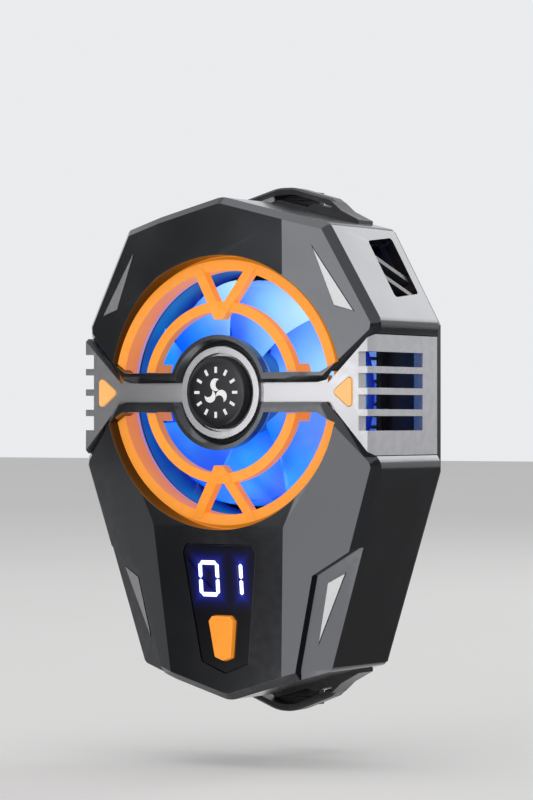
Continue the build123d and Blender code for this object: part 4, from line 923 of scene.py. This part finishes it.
SHELL = {"Metallic": 0.82, "Coat Weight": 0.3, "Coat Roughness": 0.08}
finishes = {
    "gloss_black": plastic("graphite shell", (0.062, 0.064, 0.07), 0.2, 6500, 1.5, 0.12, (0.3, 0.3, 0.32), 0.015,
                           0.03, **SHELL),
    "black_plastic": plastic("vent black", (0.03, 0.03, 0.034), 0.35, 4500, 5),
    "gunmetal": metal("silver band", (0.52, 0.52, 0.54), 0.24, brush=0.08, relief=1, Metallic=0.75),
    "rear_black": plastic("back black", (0.035, 0.035, 0.038), 0.42, 3200, 9, 0.12),
    # The grille gets a faint painted glow as emission, which makes it look brighter than its colour alone.
    "orange": plastic("orange grille with painted glow", (1.0, 0.35, 0.025), 0.34, 5200, 3, 0.3, (1.0, 0.5, 0.15),
                      **{"Emission Color": rgb(1.0, 0.31, 0.02), "Emission Strength": 0.42}),
    "amber_lens": glowing("amber lens", (1.0, 0.50, 0.16), 0.45, 0.25, (1.0, 0.52, 0.17)),
    "silver_trim": metal("brushed silver", (0.42, 0.42, 0.425), 0.38, (9000, 9000, 500), 0.35, Metallic=0.8),
    "window_black": window_with_painted_halo("display window"),
    "digit_white": glowing("lit digit", (0.9, 0.95, 1.0), 1.4, 0.3, (0.9, 0.95, 1.0)),
    # The light guide glows, and its lilac is painted: it stands in for the fan's blue light falling on the ring.
    "light_guide": glowing("light guide with painted lilac", (0.6, 0.45, 0.6), 0.5, 0.4, (0.6, 0.28, 0.45)),
    "rotor_blue": blade_with_painted_glow("blade with painted glow"),
    "duct_black": duct_with_painted_glow("duct black with painted glow"),
    # The print gets a faint painted glow as emission.
    "emblem_white": plastic("printed white with painted glow", (0.9, 0.9, 0.9), 0.5, 6000, 2, 0.1,
                            **{"Emission Color": rgb(1, 1, 1), "Emission Strength": 0.25}),
    "cap_black": plastic("cap black", (0.03, 0.03, 0.033), 0.3, 7000, 2, 0.1, Metallic=0.6),
    "claw_black": plastic("claw black", (0.035, 0.035, 0.038), 0.28, 6000, 2.5, 0.35, Metallic=0.4),
    "steel": metal("polished steel", (0.62, 0.62, 0.64), 0.18, (9000, 9000, 300), 0.1),
    "spring_steel": metal("drawn steel", (0.5, 0.5, 0.52), 0.28, (4000, 4000, 4000), 0.2),
    "dark_steel": metal("black oxide", (0.07, 0.07, 0.075), 0.38, (5000, 5000, 5000), 0.3),
    "silicone_grey": plastic("thermal silicone", (0.24, 0.25, 0.27), 0.6, 2500, 8, 0.05),
    "silicone_black": plastic("grip silicone", (0.045, 0.045, 0.05), 0.65, 2200, 12, 0.08),
    "aluminium": metal("bare aluminium", (0.78, 0.78, 0.8), 0.32, (400, 9000, 9000), 0.2),
    "cold_aluminium": metal("anodised aluminium", (0.66, 0.67, 0.69), 0.36, (9000, 9000, 300), 0.25),
    "ceramic": plastic("ceramic tile", (0.85, 0.85, 0.82), 0.55, 3000, 5, 0.05),
    "foam": plastic("closed foam", (0.07, 0.07, 0.07), 0.85, 1600, 60, 0.0, tone=0.5),
    "board_green": plastic("solder mask", (0.02, 0.13, 0.06), 0.3, 1500, 4, 0.1, tone=0.3),
    "chip_black": plastic("moulded chip", (0.035, 0.035, 0.037), 0.5, 4000, 6, 0.15),
    "ferrite": plastic("sintered ferrite", (0.12, 0.12, 0.13), 0.6, 2600, 12, 0.2),
    "can_aluminium": metal("capacitor can", (0.68, 0.68, 0.7), 0.25, (6000, 300, 6000), 0.15),
    "copper": metal("enamelled copper", (0.72, 0.3, 0.13), 0.3, (700, 9000, 700), 0.5, relief=15),
    "bronze": metal("sintered bronze", (0.6, 0.4, 0.2), 0.45, (3000, 3000, 3000), 0.4),
    "magnet_grey": plastic("magnet", (0.16, 0.16, 0.17), 0.6, 2600, 10, 0.2),
    "led_white": glowing("lamp chip", (0.75, 0.85, 1.0), 2.0, 0.4, (0.4, 0.6, 1.0)),
}
for name, part in nodes.items():
    part.data.materials.clear()
    part.data.materials.append(finishes[slot_of_node[name]])
for piece in pieces.values():
    piece.data.materials.clear()
    piece.data.materials.append(finishes[piece["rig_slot"]])
print("finishes:", len(finishes), "pieces:", len(pieces))

# %% [markdown]
# ## Floor and studio
# The cooler hangs just over a plain pale floor, as in the photograph, which leaves room for
# the lower claw to be drawn out. Its dark facets show only what they reflect, so the lamps
# are placed by their reflections: a wide soft lamp in front for the right-hand facets and
# one behind on the right for the upper wall.

# %% Lay the floor
CLAW_ROOM = 7.2
FLOOR_Z = cad_box[0][2] - CLAW_ROOM * MM


def flat_card(name, centre, normal, width, height):
    """A flat card that faces along its normal."""
    shape = bmesh.new()
    bmesh.ops.create_grid(shape, x_segments=1, y_segments=1, size=0.5)
    mesh = bpy.data.meshes.new(name)
    shape.to_mesh(mesh)
    shape.free()
    card = bpy.data.objects.new(name, mesh)
    bpy.context.scene.collection.objects.link(card)
    card.location = centre
    card.scale = (width, height, 1)
    card.rotation_euler = Vector(normal).to_track_quat("Z", "Y").to_euler()
    return card


def pale_surface(name, colour, seen):
    """A floor that is lit like any surface but looks evenly pale to the camera and to gloss."""
    material, tree, shader = shaded(name, {"Roughness": 0.55, "Specular IOR Level": 0.0})
    cloud = spread(tree, noise(tree, 14, 4), 0.3, 0.7)
    mixed = blend_colours(tree, cloud, rgb(*colour), rgb(*[c * 0.97 for c in colour]))
    tree.links.new(mixed, shader.inputs["Base Color"])
    ray = add_node(tree, "LightPath").outputs
    looked = calculate(tree, "MAXIMUM", ray["Is Camera Ray"],
                       calculate(tree, "MAXIMUM", ray["Is Glossy Ray"], ray["Is Transmission Ray"]))
    glow = calculate(tree, "MULTIPLY", looked, seen)
    tree.links.new(glow, shader.inputs["Emission Strength"])
    shader.inputs["Emission Color"].default_value = rgb(*colour)
    return material


FLOOR_WIDE = 6.0
floor = flat_card("floor", (0, 0, FLOOR_Z), (0, 0, 1), FLOOR_WIDE, FLOOR_WIDE)
floor.data.materials.append(pale_surface("pale floor", (0.80, 0.79, 0.78), 0.25))

# %% Hang the world
WORLD_LIGHT, WORLD_SEEN = 0.38, 0.85
world = bpy.data.worlds.new("studio")
bpy.context.scene.world = world
world.use_nodes = True
world_tree = world.node_tree
background = world_tree.nodes["Background"]
world_ray = add_node(world_tree, "LightPath").outputs
seen = calculate(world_tree, "MAXIMUM", world_ray["Is Camera Ray"],
                 calculate(world_tree, "MAXIMUM", world_ray["Is Glossy Ray"], world_ray["Is Transmission Ray"]))
world_tree.links.new(spread(world_tree, seen, 0.0, 1.0, WORLD_LIGHT, WORLD_SEEN), background.inputs["Strength"])
background.inputs["Color"].default_value = rgb(0.97, 0.98, 1.0)


# %% Place the lamps
def soft_lamp(name, place, aim, width, height, radiance, colour=(1, 1, 1)):
    """An area lamp of a given radiance, which the camera doesn't see."""
    data = bpy.data.lights.new(name, "AREA")
    data.shape = "RECTANGLE"
    data.size, data.size_y = width, height
    data.energy = radiance * math.pi * width * height
    data.color = colour
    lamp = bpy.data.objects.new(name, data)
    bpy.context.scene.collection.objects.link(lamp)
    lamp.location = place
    lamp.rotation_euler = (Vector(aim) - Vector(place)).to_track_quat("-Z", "Y").to_euler()
    lamp.visible_camera = False
    return lamp


def around(azimuth, elevation, distance):
    """A point round the cooler: azimuth 0 is in front, positive to the right seen from the front."""
    a, e = math.radians(azimuth), math.radians(elevation)
    return (distance * math.sin(a) * math.cos(e), -distance * math.cos(a) * math.cos(e), distance * math.sin(e))


print("floor height in mm:", round(FLOOR_Z / MM, 2))
soft_lamp("front_softbox", around(-5, 4, 0.9), (0, 0, 0), 0.42, 0.62, 2.4)
soft_lamp("back_softbox", around(162, 27, 0.8), (0, 0, 0), 0.36, 0.3, 3.0)
soft_lamp("left_softbox", around(-62, -2, 0.9), (0, 0, 0), 0.34, 0.6, 0.9)
soft_lamp("top_softbox", (0.05, -0.1, 0.9), (0, 0, 0), 0.7, 0.7, 1.1)


# %% [markdown]
# ## Reflectors
# A photographer sets black, grey and white cards round a glossy thing, so that each facet
# shows a card of its own. Here a sheet on the floor and two low walls do that, with one
# small card for the right half of the band. The brightness of a sheet changes with the
# direction from the cooler, and only reflections see it.


# %% Build a reflector
def level_by_azimuth(tree, levels):
    """Brightness from (azimuth in degrees, level) pairs; azimuth 0 is in front, right is positive."""
    place = add_node(tree, "TexCoord").outputs["Object"]
    split = add_node(tree, "SeparateXYZ", None, {0: place}).outputs
    back = calculate(tree, "MULTIPLY", split[1], -1.0)
    turn = calculate(tree, "DIVIDE", calculate(tree, "ARCTAN2", split[0], back), 2 * math.pi)
    ramp = add_node(tree, "ValToRGB", None, {0: calculate(tree, "ADD", turn, 0.5)})
    highest = max(level for azimuth, level in levels)
    stops = ramp.color_ramp.elements
    for i, (azimuth, level) in enumerate(levels):
        stop = stops[i] if i < 2 else stops.new(1.0)
        stop.position = azimuth / 360 + 0.5
        stop.color = rgb(*[level / highest] * 3)
    return calculate(tree, "MULTIPLY", ramp.outputs[0], highest)


def glossy_light(name, level):
    """A black surface that gives off white light."""
    return shaded(name, {"Base Color": rgb(0, 0, 0), "Specular IOR Level": 0.0, "Emission Color": rgb(1, 1, 1),
                         "Emission Strength": level})[0]


def hide_from_all_but_gloss(sheet):
    """Leave a sheet visible to reflections only."""
    for kind in ("camera", "diffuse", "shadow", "transmission", "volume_scatter"):
        setattr(sheet, "visible_" + kind, False)


def reflector(name, near, far, azimuths, levels, steps=72):
    """A sheet between two (radius, height) edges, over a range of azimuths."""
    shape = bmesh.new()
    edges = []
    for i in range(steps + 1):
        turn = math.radians(azimuths[0] + (azimuths[1] - azimuths[0]) * i / steps)
        edges.append([shape.verts.new((radius * math.sin(turn), -radius * math.cos(turn), height))
                      for radius, height in (near, far)])
    for left, right in zip(edges, edges[1:]):
        shape.faces.new((left[0], right[0], right[1], left[1]))
    mesh = bpy.data.meshes.new(name)
    shape.to_mesh(mesh)
    shape.free()
    sheet = bpy.data.objects.new(name, mesh)
    bpy.context.scene.collection.objects.link(sheet)
    material = glossy_light(name, 1.0)
    tree = material.node_tree
    tree.links.new(level_by_azimuth(tree, levels), tree.nodes["Principled BSDF"].inputs["Emission Strength"])
    mesh.materials.append(material)
    hide_from_all_but_gloss(sheet)
    return sheet


# %% Set the reflectors round the cooler
SHEET_LEVELS = [(-180, 0.8), (-95, 0.8), (-70, 0.5), (-58, 0.6), (-50, 0.6), (-44, 0.3), (-36, 0.04), (-30, 0.06),
                (-20, 0.3), (-12, 0.5), (-3, 2.2), (16, 2.2), (24, 0.8), (35, 0.3), (75, 0.2), (90, 0.3),
                (105, 0.12), (150, 0.12), (165, 0.8), (180, 0.8)]
LEFT_WALL_LEVELS = [(-85, 0.5), (-70, 0.15), (-52, 0.12), (-45, 0.05), (-36, 0.03), (-28, 0.25), (-20, 0.6)]
RIGHT_WALL_LEVELS = [(36, 0.5), (42, 0.1), (72, 0.1), (82, 0.5)]
sheet_z = FLOOR_Z + 0.5 * MM
reflector("floor_reflector", (0.03, sheet_z), (0.6, sheet_z), (-180, 180), SHEET_LEVELS)
reflector("left_reflector", (0.3, sheet_z), (0.3, 0.07), (-85, -20), LEFT_WALL_LEVELS)
reflector("right_reflector", (0.3, sheet_z), (0.3, 0.12), (36, 82), RIGHT_WALL_LEVELS)
CARD_PLACE, CARD_FACES, CARD_SIZE = (-0.047, -0.124, 0.001), (0.53, 0.848, 0), (0.030, 0.026)
bar_card = flat_card("bar_reflector", CARD_PLACE, CARD_FACES, *CARD_SIZE)
bar_card.data.materials.append(glossy_light("bar light", 2.4))
hide_from_all_but_gloss(bar_card)

# %% Set the view transform
bpy.context.scene.view_settings.view_transform = "Standard"
